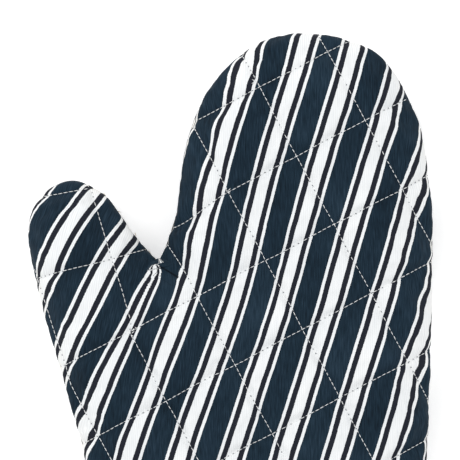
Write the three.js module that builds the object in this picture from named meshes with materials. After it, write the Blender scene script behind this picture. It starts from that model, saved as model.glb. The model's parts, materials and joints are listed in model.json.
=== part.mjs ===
// A quilted cotton oven mitt, lying flat with its palm side up.
// Millimetres. X runs from the thumb to the little finger, Y from the cuff to the fingertips, Z is up.
// The mitt is drawn with its crotch (where thumb and fingers part) at x = y = 0 and the plane of its
// side seam at z = 0. The last lines move it so that the middle of its footprint is the origin.
import * as THREE from 'three';
import { mergeVertices } from 'three/addons/utils/BufferGeometryUtils.js';

// ---- Overall sizes ----
const FINGER_LENGTH = 115.5;   // crotch to the top of the fingers
const HAND_WIDTH = 137.5;      // crotch to the little-finger side
const THUMB_WIDTH = 65.5;      // crotch to the far side of the thumb
const THUMB_RISE = 41.5;       // crotch to the top of the thumb
const CROTCH_HEIGHT = 204.5;   // cuff edge to the crotch
const CUFF_WIDTH = 160;
const CUFF_LEFT = 27;          // how far the cuff reaches past the crotch on the thumb side
const CUFF_STRAIGHT = 45;      // straight length of the side seams at the cuff
const WRIST_HEIGHT = 60;       // cuff edge to the root of the thumb
const THICKNESS = 42;          // the whole mitt, palm to back
const EDGE_ROUND = 26;         // how far in from the seam the padding rounds over

// ---- Cloth and padding ----
const OUTER_CLOTH = 1;
const BATTING = 5;
const LINING = 1;
const GAP = 0.3;               // clearance between pieces that touch
const SEAM_GAP = 1.2;          // between the palm and back panels, where the seam thread runs
const THREAD = 0.6;            // seam thread, across
const HINGE_GAP = 0.8;         // between the thumb's panels and the hand's
const SEAM_INSET = 2;          // seam thread, in from the edge

// ---- Cuff binding ----
const BINDING_WIDTH = 13;
const BINDING_THICK = 1;
const BINDING_TAPER = 15;      // over this length the padding swells out again above the binding

// ---- Hanging loop: a tape folded double, sewn into the seam at the cuff ----
const LOOP_LENGTH = 44;
const LOOP_TAPE_WIDTH = 9;
const LOOP_TAPE_THICK = 1.4;
const LOOP_STUB = 9;           // where the two ends lie on each other
const LOOP_EYE_HALF = 7.5;     // half the outer height of the eye
const LOOP_EDGE_MARGIN = 2;    // cuff edge to the tape
const BAR_TACK_LENGTH = 1.6;
const BAR_TACK_THICK = 0.7;

// ---- Care label, blank ----
const LABEL_WIDTH = 26;
const LABEL_LENGTH = 20;
const LABEL_THICK = 0.5;

// ---- How finely the solids are drawn ----
const COLUMNS = 12;
const THUMB_COLUMNS = 8;
const SPLIT_ROWS = 6;
const FINGER_ROWS = 8;
const THUMB_ROWS = 9;
const LINE_POINTS = 500;
const THREAD_STEP = 8;
const TIP_CROWDING = 1.5;

const RIM = SEAM_GAP / 2;
const HALF = THICKNESS / 2;
const CUFF_Y = -CROTCH_HEIGHT;
const CUFF_RIGHT = CUFF_WIDTH - CUFF_LEFT;
const CUFF_TUCK = BINDING_THICK + GAP;

const colours = {
  outer: { color: 0x22313f, roughness: 0.9, metalness: 0 },
  batting: { color: 0xf1efe8, roughness: 1, metalness: 0 },
  lining: { color: 0xe9e6dc, roughness: 0.95, metalness: 0 },
  binding: { color: 0x1c2a36, roughness: 0.85, metalness: 0 },
  thread: { color: 0xd8cfc0, roughness: 0.7, metalness: 0 },
  label: { color: 0xf6f5f1, roughness: 0.8, metalness: 0 },
};

const mitt = new THREE.Group();

function addMesh(name, geometry, finish) {
  const mesh = new THREE.Mesh(geometry, new THREE.MeshStandardMaterial(colours[finish]));
  mesh.name = name;
  mitt.add(mesh);
  return mesh;
}

// ---- Outline: two soft lines that both start at the crotch and end at the cuff ----

// The fingers are given as shares of hand width and finger length, the rest in the cuff's terms.
function handOutline() {
  const fingers = [[0, 0], [0.06, 0.22], [0.1, 0.53], [0.19, 0.77], [0.355, 0.952], [0.56, 1],
    [0.793, 0.909], [0.935, 0.64], [0.993, 0.238]]
    .map(([across, up]) => [across * HAND_WIDTH, up * FINGER_LENGTH]);
  const palm = [[HAND_WIDTH - 1, CUFF_Y * 0.1], [HAND_WIDTH - 3, CUFF_Y * 0.48]];
  return softLine([...fingers, ...palm], CUFF_RIGHT);
}

function thumbOutline() {
  const thumb = [[0, 0], [0.19, 0.35], [0.43, 0.84], [0.672, 1], [0.908, 0.82], [1, 0.41]]
    .map(([across, up]) => [-across * THUMB_WIDTH, up * THUMB_RISE]);
  const heel = [[0.93, 0.064], [0.725, 0.293], [0.57, 0.475]]
    .map(([across, down]) => [-across * THUMB_WIDTH, CUFF_Y * down]);
  return softLine([...thumb, ...heel], -CUFF_LEFT);
}

function softLine(points, cuffX) {
  const straightTop = CUFF_Y + CUFF_STRAIGHT;
  const spline = new THREE.CatmullRomCurve3(
    [...points, [cuffX, straightTop]].map(([x, y]) => new THREE.Vector3(x, y, 0)), false, 'centripetal');
  const side = new THREE.LineCurve3(
    new THREE.Vector3(cuffX, straightTop, 0), new THREE.Vector3(cuffX, CUFF_Y, 0));
  return [...spline.getSpacedPoints(LINE_POINTS), side.getPoint(1)];
}

// A line that can be asked for a point at a distance along it, moved inwards by some depth.
function makeLine(points, inwardSign) {
  const stations = [0];
  for (let i = 1; i < points.length; i += 1) {
    stations.push(stations[i - 1] + points[i].distanceTo(points[i - 1]));
  }
  function segmentAt(station) {
    const last = points.length - 2;
    return Math.max(0, Math.min(last, stations.findIndex((s) => s > station) - 1 || 0));
  }
  function inset(station, depth) {
    const capped = Math.min(station, stations.at(-1));
    const i = capped >= stations.at(-2) ? points.length - 2 : segmentAt(capped);
    const along = points[i + 1].clone().sub(points[i]);
    const share = (capped - stations[i]) / along.length();
    along.normalize();
    const inward = new THREE.Vector3(along.y, -along.x, 0).multiplyScalar(inwardSign);
    return points[i].clone().lerp(points[i + 1], share).addScaledVector(inward, depth);
  }
  // The station where the line last passes the height y on its way down to the cuff.
  function stationAtHeight(y) {
    let i = points.length - 2;
    while (points[i].y < y) i -= 1;
    const share = (points[i].y - y) / (points[i].y - points[i + 1].y);
    return THREE.MathUtils.lerp(stations[i], stations[i + 1], share);
  }
  const top = points.reduce((best, p, i) => (p.y > points[best].y ? i : best), 0);
  return { points, inset, stationAtHeight, topStation: stations[top], length: stations.at(-1) };
}

const hand = makeLine(handOutline(), 1);
const thumb = makeLine(thumbOutline(), -1);
const outlineEdges = [...edgesOf(hand.points), ...edgesOf(thumb.points)];

function edgesOf(points) {
  return points.slice(1).map((end, i) => new THREE.Line3(points[i], end));
}

const nearest = new THREE.Vector3();

function distanceToOutline(point) {
  const flat = new THREE.Vector3(point.x, point.y, 0);
  let least = Infinity;
  for (const edge of outlineEdges) {
    edge.closestPointToPoint(flat, true, nearest);
    least = Math.min(least, nearest.distanceTo(flat));
  }
  return least;
}

// ---- The padded form: how far each surface stands from the seam plane ----

// Near the cuff every layer is tucked in, so that the binding lies flush with the padding.
function tuck(y) {
  const above = y - (CUFF_Y + BINDING_WIDTH + SEAM_INSET);
  return CUFF_TUCK * (1 - THREE.MathUtils.clamp(above / BINDING_TAPER, 0, 1));
}

function heightOver(distance, depth) {
  const share = Math.min(1, Math.max(0, distance - depth) / (EDGE_ROUND - depth));
  return RIM + (HALF - depth - RIM) * Math.sqrt(1 - (1 - share) ** 2);
}

function surfaceHeight(point, depth) {
  return heightOver(distanceToOutline(point), depth + tuck(point.y));
}

// ---- The line on which the thumb folds, from its root at the wrist to the crotch ----
const crotch = new THREE.Vector3(0, 0, 0);
const thumbRoot = thumb.inset(thumb.stationAtHeight(CUFF_Y + WRIST_HEIGHT), 0);
const foldDirection = crotch.clone().sub(thumbRoot).normalize();
const towardsHand = new THREE.Vector3(foldDirection.y, -foldDirection.x, 0);

// The station on the thumb's outline whose inset point lies on the fold line.
function rootStation(depth) {
  let low = thumb.topStation;
  let high = thumb.stationAtHeight(CUFF_Y + WRIST_HEIGHT / 2);
  for (let step = 0; step < 40; step += 1) {
    const middle = (low + high) / 2;
    const side = thumb.inset(middle, depth).sub(thumbRoot).dot(towardsHand);
    if (side > 0) high = middle;
    else low = middle;
  }
  return (low + high) / 2;
}

// Shares from 0 to 1 that crowd together at both ends, where the padding is roundest.
function crowdedShares(count) {
  return Array.from({ length: count + 1 }, (_, i) => (1 - Math.cos((Math.PI * i) / count)) / 2);
}

function evenShares(count) {
  return Array.from({ length: count + 1 }, (_, i) => i / count);
}

// Shares that crowd together towards the tip only.
function tipShares(count) {
  return evenShares(count).map((share) => 1 - (1 - share) ** TIP_CROWDING);
}

// A point of a grid: where it lies in plan, and whether it is on the seam.
function edgePoint(plan, onSeam) {
  return { plan, onSeam };
}

function foldPoints(depth, count, shift) {
  const low = thumb.inset(rootStation(depth), depth);
  const high = crotch.clone().addScaledVector(foldDirection, -depth);
  return crowdedShares(count).map((share, i) => {
    const plan = low.clone().lerp(high, share).addScaledVector(towardsHand, shift);
    return edgePoint(plan, i === 0 || i === count);
  });
}

// Each layer turns round the crotch in an arc, so that it keeps its thickness there.
function crotchTurn(depth) {
  const down = foldDirection.clone().negate();
  const intoHand = hand.inset(0, 1).sub(crotch);
  return [0.5, 1].map((share) => down.clone().lerp(intoHand, share).setLength(depth)
    .addScaledVector(towardsHand, HINGE_GAP / 2));
}

const cuffRows = [CUFF_Y, CUFF_Y + BINDING_WIDTH + SEAM_INSET,
  CUFF_Y + BINDING_WIDTH + SEAM_INSET + BINDING_TAPER];

// The hand's two sides, row by row from the cuff to the fingertips.
function handSides(depth) {
  const insetAt = (line, station) => {
    const plain = line.inset(station, 0);
    return edgePoint(line.inset(station, depth + tuck(plain.y)), true);
  };
  const left = cuffRows.map((y) => insetAt(thumb, thumb.stationAtHeight(y)));
  left.push(...foldPoints(depth, SPLIT_ROWS, HINGE_GAP / 2));
  const right = cuffRows.map((y) => insetAt(hand, hand.stationAtHeight(y)));
  for (const share of crowdedShares(SPLIT_ROWS)) {
    const y = THREE.MathUtils.lerp(thumbRoot.y, 0, share);
    right.push(insetAt(hand, hand.stationAtHeight(y)));
  }
  const level = hand.stationAtHeight(0);
  const shares = tipShares(FINGER_ROWS);
  const turn = crotchTurn(depth);
  turn.forEach((plan, i) => {
    const share = (shares[1] * (i + 1)) / (turn.length + 1);
    left.push(edgePoint(plan, true));
    right.push(insetAt(hand, THREE.MathUtils.lerp(level, hand.topStation, share)));
  });
  for (const share of shares.slice(1)) {
    left.push(insetAt(hand, share * hand.topStation));
    right.push(insetAt(hand, THREE.MathUtils.lerp(level, hand.topStation, share)));
  }
  return { left, right };
}

function thumbSides(depth) {
  const start = rootStation(depth);
  const left = [];
  const right = [];
  for (const share of crowdedShares(THUMB_ROWS).slice(1)) {
    const leftStation = THREE.MathUtils.lerp(start, thumb.topStation, share);
    left.push(edgePoint(thumb.inset(leftStation, depth), true));
    right.push(edgePoint(thumb.inset(share * thumb.topStation, depth), true));
  }
  return { left, right };
}

function lift(plan, onSeam, depth) {
  return new THREE.Vector3(plan.x, plan.y, onSeam ? RIM : surfaceHeight(plan, depth));
}

function gridRow(left, right, shares, depth) {
  return shares.map((share, i) => {
    if (i === 0) return lift(left.plan, left.onSeam, depth);
    if (i === shares.length - 1) return lift(right.plan, right.onSeam, depth);
    const plan = left.plan.clone().lerp(right.plan, share);
    const closed = left.plan.distanceTo(right.plan) < GAP / 2;
    return lift(closed ? left.plan : plan, closed, depth);
  });
}

function handGrid(depth) {
  const { left, right } = handSides(depth);
  return left.map((edge, row) => gridRow(edge, right[row], crowdedShares(COLUMNS), depth));
}

function thumbGrid(depth) {
  const { left, right } = thumbSides(depth);
  const fold = foldPoints(depth, THUMB_COLUMNS, -HINGE_GAP / 2);
  const foldRow = fold.map(({ plan, onSeam }) => lift(plan, onSeam, depth));
  const rows = left.map((edge, row) => gridRow(edge, right[row], crowdedShares(THUMB_COLUMNS), depth));
  return [foldRow, ...rows];
}

// ---- Turning grids of points into closed solids ----

function pushTriangle(triangles, a, b, c) {
  const near = 1e-4;
  if (a.distanceTo(b) < near || b.distanceTo(c) < near || c.distanceTo(a) < near) return;
  triangles.push(a, b, c);
}

function pushQuad(triangles, a, b, c, d) {
  pushTriangle(triangles, a, b, c);
  pushTriangle(triangles, a, c, d);
}

function toGeometry(triangles) {
  const geometry = new THREE.BufferGeometry().setFromPoints(triangles);
  return mergeVertices(geometry, 1e-4);
}

// Upper and lower grids become the two faces of a panel, and a wall joins them all round. Both
// halves of a grid lean towards its tip, so each half is cut along its own shorter diagonal.
function panelTriangles(upper, lower) {
  const triangles = [];
  const rows = upper.length;
  const columns = upper[0].length;
  for (let r = 0; r < rows - 1; r += 1) {
    for (let c = 0; c < columns - 1; c += 1) {
      const corners = [[r, c], [r, c + 1], [r + 1, c + 1], [r + 1, c]];
      const onLeft = c < (columns - 1) / 2;
      if (onLeft) corners.push(corners.shift());
      const [p, q, s, t] = corners;
      pushQuad(triangles, upper[p[0]][p[1]], upper[q[0]][q[1]], upper[s[0]][s[1]], upper[t[0]][t[1]]);
      pushQuad(triangles, lower[p[0]][p[1]], lower[t[0]][t[1]], lower[s[0]][s[1]], lower[q[0]][q[1]]);
    }
  }
  const round = (grid) => [...grid[0], ...grid.slice(1).map((row) => row.at(-1)),
    ...grid.at(-1).slice(0, -1).reverse(), ...grid.slice(1, -1).map((row) => row[0]).reverse()];
  const top = round(upper);
  const bottom = round(lower);
  top.forEach((point, i) => {
    const next = (i + 1) % top.length;
    pushQuad(triangles, point, bottom[i], bottom[next], top[next]);
  });
  return triangles;
}

// The back of the mitt is the palm turned over in the seam plane.
function mirrored(triangles) {
  const flipped = [];
  for (let i = 0; i < triangles.length; i += 3) {
    const [a, b, c] = triangles.slice(i, i + 3).map((p) => new THREE.Vector3(p.x, p.y, -p.z));
    flipped.push(a, c, b);
  }
  return flipped;
}

// ---- Panels: cloth, batting and lining, on the palm and on the back ----
const layers = [
  { name: 'outer_cloth', thick: OUTER_CLOTH, finish: 'outer' },
  { name: 'batting', thick: BATTING, finish: 'batting' },
  { name: 'lining', thick: LINING, finish: 'lining' },
];

let stack = 0;
for (const layer of layers) {
  const inner = stack + layer.thick;
  const handPanel = panelTriangles(handGrid(stack), handGrid(inner));
  const thumbPanel = panelTriangles(thumbGrid(stack), thumbGrid(inner));
  addMesh(`palm_${layer.name}`, toGeometry(handPanel), layer.finish);
  addMesh(`back_${layer.name}`, toGeometry(mirrored(handPanel)), layer.finish);
  addMesh(`thumb_palm_${layer.name}`, toGeometry(thumbPanel), layer.finish);
  addMesh(`thumb_back_${layer.name}`, toGeometry(mirrored(thumbPanel)), layer.finish);
  stack = inner + GAP;
}

// ---- Cuff binding: a folded tape round the mouth, over the edges of all the layers ----
function mouthRing(depth, y) {
  const left = -CUFF_LEFT + depth;
  const right = CUFF_RIGHT - depth;
  const shares = crowdedShares(COLUMNS);
  const palmHalf = shares.map((share, i) => {
    const x = THREE.MathUtils.lerp(left, right, share);
    const distance = Math.min(x - left, right - x) + depth;
    const onSeam = i === 0 || i === COLUMNS;
    return new THREE.Vector3(x, y, onSeam ? RIM : heightOver(distance, depth));
  });
  const backHalf = palmHalf.map((p) => new THREE.Vector3(p.x, p.y, -p.z)).reverse();
  return [...palmHalf, ...backHalf];
}

function cuffBinding() {
  const inside = CUFF_TUCK + stack;
  const deep = inside + BINDING_THICK;
  const end = CUFF_Y + BINDING_WIDTH;
  const section = [
    [0, end], [0, CUFF_Y - CUFF_TUCK], [deep, CUFF_Y - CUFF_TUCK], [deep, end],
    [inside, end], [inside, CUFF_Y - GAP], [BINDING_THICK, CUFF_Y - GAP], [BINDING_THICK, end]];
  const rings = section.map(([depth, y]) => mouthRing(depth, y));
  const triangles = [];
  rings.forEach((ring, i) => {
    const next = rings[(i + 1) % rings.length];
    ring.forEach((point, j) => {
      const k = (j + 1) % ring.length;
      pushQuad(triangles, point, next[j], next[k], ring[k]);
    });
  });
  return toGeometry(triangles);
}

addMesh('cuff_binding', cuffBinding(), 'binding');

// ---- Seam threads, in the gap between the palm and back panels ----
function threadAlong(line, from, to) {
  const steps = Math.round((to - from) / THREAD_STEP);
  const points = evenShares(steps).map((share) =>
    line.inset(THREE.MathUtils.lerp(from, to, share), SEAM_INSET));
  const path = new THREE.CatmullRomCurve3(points, false, 'centripetal');
  const section = new THREE.Shape().absellipse(0, 0, THREAD / 2, THREAD / 2, 0, Math.PI * 2);
  return new THREE.ExtrudeGeometry(section, { steps, extrudePath: path, curveSegments: 3 });
}

function seamThreads() {
  const overBinding = CUFF_Y + BINDING_WIDTH + SEAM_INSET;
  const root = rootStation(SEAM_INSET);
  const clear = HINGE_GAP + SEAM_INSET;
  addMesh('hand_seam_thread', threadAlong(hand, clear, hand.stationAtHeight(overBinding)), 'thread');
  addMesh('thumb_seam_thread', threadAlong(thumb, clear, root - clear), 'thread');
  addMesh('wrist_seam_thread', threadAlong(thumb, root + clear, thumb.stationAtHeight(overBinding)),
    'thread');
}

seamThreads();

// ---- Hanging loop, drawn along +X from its root, then let down until it lies on the table ----
const loopRootRadius = LOOP_TAPE_THICK;
const loopRoot = new THREE.Vector3(CUFF_RIGHT + GAP + loopRootRadius, 0, 0);
const loopFar = CUFF_Y + LOOP_EDGE_MARGIN + LOOP_TAPE_WIDTH;

// One half of the eye, from the end of the stub to the tip, at a given height.
function eyeCurve(shape, start, tip, half, sign) {
  const long = tip - start;
  shape.bezierCurveTo(start + long * 0.3, sign * loopRootRadius, start + long * 0.35, sign * half,
    start + long * 0.62, sign * half);
  shape.bezierCurveTo(start + long * 0.86, sign * half, tip, sign * half * 0.6, tip, 0);
}

function eyeReturn(shape, start, tip, half, sign) {
  const long = tip - start;
  shape.bezierCurveTo(tip, sign * half * 0.6, start + long * 0.86, sign * half,
    start + long * 0.62, sign * half);
  shape.bezierCurveTo(start + long * 0.35, sign * half, start + long * 0.3, sign * loopRootRadius,
    start, sign * loopRootRadius);
}

function loopShape() {
  const shape = new THREE.Shape();
  shape.moveTo(0, loopRootRadius);
  shape.absarc(0, 0, loopRootRadius, Math.PI / 2, Math.PI * 1.5, false);
  shape.lineTo(LOOP_STUB, -loopRootRadius);
  eyeCurve(shape, LOOP_STUB, LOOP_LENGTH, LOOP_EYE_HALF, -1);
  eyeReturn(shape, LOOP_STUB, LOOP_LENGTH, LOOP_EYE_HALF, 1);
  shape.lineTo(0, loopRootRadius);
  shape.holes.push(loopEye());
  return shape;
}

function loopEye() {
  const eye = new THREE.Path();
  const start = LOOP_STUB + LOOP_TAPE_THICK * 2;
  const tip = LOOP_LENGTH - LOOP_TAPE_THICK;
  const half = LOOP_EYE_HALF - LOOP_TAPE_THICK;
  const long = tip - start;
  eye.moveTo(start, 0);
  eye.bezierCurveTo(start + long * 0.2, half * 0.3, start + long * 0.3, half, start + long * 0.58, half);
  eye.bezierCurveTo(start + long * 0.85, half, tip, half * 0.6, tip, 0);
  eye.bezierCurveTo(tip, -half * 0.6, start + long * 0.85, -half, start + long * 0.58, -half);
  eye.bezierCurveTo(start + long * 0.3, -half, start + long * 0.2, -half * 0.3, start, 0);
  return eye;
}

// The angle at which the loop's lowest point just clears the table.
function loopDroop(points) {
  const lowest = (angle) => Math.min(...points.map((p) => p.y * Math.cos(angle) - p.x * Math.sin(angle)));
  let low = 0;
  let high = Math.PI / 2;
  for (let step = 0; step < 40; step += 1) {
    const middle = (low + high) / 2;
    if (lowest(middle) > GAP - HALF) low = middle;
    else high = middle;
  }
  return (low + high) / 2;
}

function hangingLoop() {
  const shape = loopShape();
  const droop = loopDroop(shape.getPoints(6));
  const tape = new THREE.ExtrudeGeometry(shape,
    { depth: LOOP_TAPE_WIDTH, bevelEnabled: false, curveSegments: 6 });
  const tack = new THREE.BoxGeometry(BAR_TACK_LENGTH, BAR_TACK_THICK, LOOP_TAPE_WIDTH);
  tack.translate(LOOP_STUB / 2, loopRootRadius + GAP + BAR_TACK_THICK / 2, LOOP_TAPE_WIDTH / 2);
  for (const geometry of [tape, tack]) {
    geometry.rotateZ(-droop);
    geometry.rotateX(Math.PI / 2);
    geometry.translate(loopRoot.x, loopFar, 0);
  }
  addMesh('hanging_loop', tape, 'binding');
  addMesh('loop_bar_tack', tack, 'thread');
}

hangingLoop();

// ---- Care label, lying on the back's lining just inside the mouth ----
function careLabel() {
  const floor = stack - GAP - HALF + CUFF_TUCK;
  const label = new THREE.BoxGeometry(LABEL_WIDTH, LABEL_LENGTH, LABEL_THICK);
  label.translate(CUFF_WIDTH / 2 - CUFF_LEFT, CUFF_Y + BINDING_WIDTH + LABEL_LENGTH,
    floor + GAP + LABEL_THICK / 2);
  addMesh('care_label', label, 'label');
}

careLabel();

// ---- Origin at the middle of the footprint, on the table ----
const box = new THREE.Box3().setFromObject(mitt);
const middle = box.getCenter(new THREE.Vector3());
mitt.position.set(-middle.x, -middle.y, -box.min.z);

export default mitt;
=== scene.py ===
# %% [markdown]
# # A quilted oven mitt
#
# A mitt is sewn inside out and then turned. Two quilted panels, palm and back, are joined by one
# seam round the fingers and the thumb, and a folded tape covers all the raw edges at the mouth.
# The solid model gives the places and sizes. Here every soft piece is made again as cloth.
# All lengths are in metres, and Z is up.

import json
import math

import bmesh
import bpy
import numpy as np
from mathutils import Matrix, Vector, noise
from mathutils.bvhtree import BVHTree
from mathutils.kdtree import KDTree


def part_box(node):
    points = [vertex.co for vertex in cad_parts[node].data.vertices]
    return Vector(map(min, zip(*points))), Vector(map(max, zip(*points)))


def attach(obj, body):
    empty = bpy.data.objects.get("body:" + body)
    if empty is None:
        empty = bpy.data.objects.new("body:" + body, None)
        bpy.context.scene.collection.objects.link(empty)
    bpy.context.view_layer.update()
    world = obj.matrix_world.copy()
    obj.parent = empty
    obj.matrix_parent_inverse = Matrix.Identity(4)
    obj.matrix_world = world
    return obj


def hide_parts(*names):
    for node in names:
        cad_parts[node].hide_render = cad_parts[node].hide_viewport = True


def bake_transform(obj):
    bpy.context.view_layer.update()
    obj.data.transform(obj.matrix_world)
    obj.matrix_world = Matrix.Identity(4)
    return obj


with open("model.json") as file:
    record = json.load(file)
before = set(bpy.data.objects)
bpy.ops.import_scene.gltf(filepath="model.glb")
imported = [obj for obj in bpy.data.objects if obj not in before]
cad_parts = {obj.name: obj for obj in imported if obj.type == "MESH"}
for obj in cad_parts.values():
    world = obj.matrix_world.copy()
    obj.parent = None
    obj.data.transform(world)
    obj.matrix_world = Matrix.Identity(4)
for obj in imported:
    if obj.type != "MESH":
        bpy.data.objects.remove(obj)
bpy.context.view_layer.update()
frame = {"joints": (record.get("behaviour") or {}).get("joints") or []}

MM = 0.001
fold = next(j for j in frame["joints"] if j["name"] == "thumb_fold")
swing = next(j for j in frame["joints"] if j["name"] == "loop_swing")
CROTCH = Vector(fold["pos_m"]).to_2d()
SEAM_Z = swing["pos_m"][2]
print("the seam lies", round(SEAM_Z / MM, 1), "mm above the table")

# %% [markdown]
# ## The outline
#
# The edge of a mitt is two soft lines. Both start at the crotch, where the thumb and the fingers
# part. One runs round the fingers and down the little-finger side, and the other runs round the
# thumb and down the wrist. A few points with a Catmull-Rom curve through them hold such a line
# well, because the curve passes through each point and never swings far outside them.

# %% Soft outline from a few points
HAND_WIDTH = 137.5 * MM
FINGER_LENGTH = 115.5 * MM
THUMB_WIDTH = 65.5 * MM
THUMB_RISE = 41.5 * MM
CUFF_DEPTH = 204.5 * MM
CUFF_RIGHT = 133 * MM
CUFF_LEFT = 27 * MM
CUFF_STRAIGHT = 45 * MM
PAST_CUFF = 12 * MM

FINGERS = [(0, 0), (0.06, 0.22), (0.1, 0.53), (0.19, 0.77), (0.355, 0.952), (0.56, 1),
           (0.793, 0.909), (0.935, 0.64), (0.993, 0.238)]
THUMB = [(0, 0), (0.19, 0.35), (0.43, 0.84), (0.672, 1), (0.908, 0.82), (1, 0.41)]
HEEL = [(0.93, 0.064), (0.725, 0.293), (0.57, 0.475)]


def soft_line(points, steps=12):
    """A centripetal Catmull-Rom curve through the points."""
    points = np.array(points, float)
    first, last = 2 * points[0] - points[1], 2 * points[-1] - points[-2]
    guides = np.vstack([first, points, last])
    line = []
    for a, b, c, d in zip(guides, guides[1:], guides[2:], guides[3:]):
        gaps = [math.sqrt(np.linalg.norm(q - p)) for p, q in ((a, b), (b, c), (c, d))]
        k = np.cumsum([0, *gaps])
        for t in np.linspace(k[1], k[2], steps, endpoint=False):
            ab = a + (b - a) * (t - k[0]) / (k[1] - k[0])
            bc = b + (c - b) * (t - k[1]) / (k[2] - k[1])
            cd = c + (d - c) * (t - k[2]) / (k[3] - k[2])
            abc = ab + (bc - ab) * (t - k[0]) / (k[2] - k[0])
            bcd = bc + (cd - bc) * (t - k[1]) / (k[3] - k[1])
            line.append(abc + (bcd - abc) * (t - k[1]) / (k[2] - k[1]))
    return np.array([*line, points[-1]])


straight_top = -CUFF_DEPTH + CUFF_STRAIGHT
hand_points = [(x * HAND_WIDTH, y * FINGER_LENGTH) for x, y in FINGERS]
hand_points += [(HAND_WIDTH - 1 * MM, -CUFF_DEPTH * 0.1), (HAND_WIDTH - 3 * MM, -CUFF_DEPTH * 0.48)]
hand_line = soft_line([*hand_points, (CUFF_RIGHT, straight_top)])
thumb_points = [(-x * THUMB_WIDTH, y * THUMB_RISE) for x, y in THUMB]
thumb_points += [(-x * THUMB_WIDTH, -y * CUFF_DEPTH) for x, y in HEEL]
thumb_line = soft_line([*thumb_points, (-CUFF_LEFT, straight_top)])
cuff_end = -CUFF_DEPTH - PAST_CUFF
outline = np.vstack([hand_line, (CUFF_RIGHT, cuff_end), (-CUFF_LEFT, cuff_end), thumb_line[:0:-1]])
print("the outline has", len(outline), "points, and the crotch is at", tuple(CROTCH))

# %% [markdown]
# ## Distance from the edge
#
# Nearly everything on the mitt depends on how far a point is from the seam: how high the padding
# stands, how the cloth rolls over the edge, where a stitch sits. So one function measures that
# for many points at once, and also says which way is inwards.

# %% Distance to the seam
# The cuff's open end isn't a seam, so that stretch of the outline is left out.
seam_starts = np.vstack([hand_line, thumb_line])
seam_ends = np.vstack([hand_line[1:], [(CUFF_RIGHT, cuff_end - 1)],
                       thumb_line[1:], [(-CUFF_LEFT, cuff_end - 1)]])
seam_turns = np.array([1.0] * len(hand_line) + [-1.0] * len(thumb_line))
seam_alongs = seam_ends - seam_starts
seam_inwards = np.stack([seam_alongs[:, 1], -seam_alongs[:, 0]], 1) * seam_turns[:, None]
seam_inwards /= np.linalg.norm(seam_inwards, axis=1)[:, None]
CLOSE = 0.05 * MM


def inside_outline(points):
    """True for points within the outline, by counting crossings to the right."""
    hits = np.zeros(len(points), int)
    for (ax, ay), (bx, by) in zip(outline, np.roll(outline, -1, axis=0)):
        spans = (ay > points[:, 1]) != (by > points[:, 1])
        if ay != by:
            hits += spans & (points[:, 0] < (bx - ax) * (points[:, 1] - ay) / (by - ay) + ax)
    return hits % 2 == 1


def from_seam(points):
    """For points relative to the crotch: distance to the seam, the nearest seam point, and inwards.
    A point just outside counts as lying on the seam."""
    distance = np.full(len(points), np.inf)
    nearest = np.zeros((len(points), 2))
    straight_in = np.zeros((len(points), 2))
    for start, along, inward in zip(seam_starts, seam_alongs, seam_inwards):
        share = np.clip((points - start) @ along / (along @ along), 0, 1)
        foot = start + share[:, None] * along
        gap = np.linalg.norm(points - foot, axis=1)
        closer = gap < distance
        distance[closer] = gap[closer]
        nearest[closer] = foot[closer]
        straight_in[closer] = inward
    away = points - nearest
    length = np.maximum(np.linalg.norm(away, axis=1), 1e-9)[:, None]
    within = inside_outline(points)
    inwards = np.where((length > CLOSE) & within[:, None], away / length, straight_in)
    return np.where(within, distance, 0), nearest, inwards


middle = np.array([[60 * MM, 0]])
print("the palm's middle is", round(from_seam(middle)[0][0] / MM), "mm from the seam")

# %% [markdown]
# ## One even sheet of cloth for both sides
#
# A flat outline filled with one face and extruded gives a slab. The voxel remesh turns it into an
# even net of small squares, also on its walls. Then each point is moved onto a quarter ellipse,
# so that the flat top rolls over smoothly and meets the seam upright. Every layer of the mitt,
# from the outer cloth to the lining, is this same net at another depth, so the layers can't cross.

# %% Sizes of the padded form, and mesh helpers
THICKNESS = 42 * MM
EDGE_ROUND = 26 * MM
HALF = THICKNESS / 2
RIM = 0.35 * MM


def mesh_from_modifiers(obj):
    """The object's mesh as its modifiers leave it."""
    bpy.context.view_layer.update()
    evaluated = obj.evaluated_get(bpy.context.evaluated_depsgraph_get())
    return bpy.data.meshes.new_from_object(evaluated)


def add_object(name, mesh):
    obj = bpy.data.objects.new(name, mesh)
    bpy.context.scene.collection.objects.link(obj)
    return obj


def object_from_bmesh(name, bm):
    mesh = bpy.data.meshes.new(name)
    bm.to_mesh(mesh)
    bm.free()
    return add_object(name, mesh)


print("the form is", THICKNESS / MM, "mm thick")

# %% [markdown]
# The remesh closes the slab's floor and its cuff end too, and both are cut off again. The net has
# to be finer at the crotch, where the cloth fans out from one point.

# %% Build the net once
NET = 2.0 * MM
SEAM_CUT = 1.4 * MM
CUFF_TRIM = 1.1 * MM
TINY_EDGE = 0.2 * MM
CROTCH_FINER = (6 * MM, 4 * MM)


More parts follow.
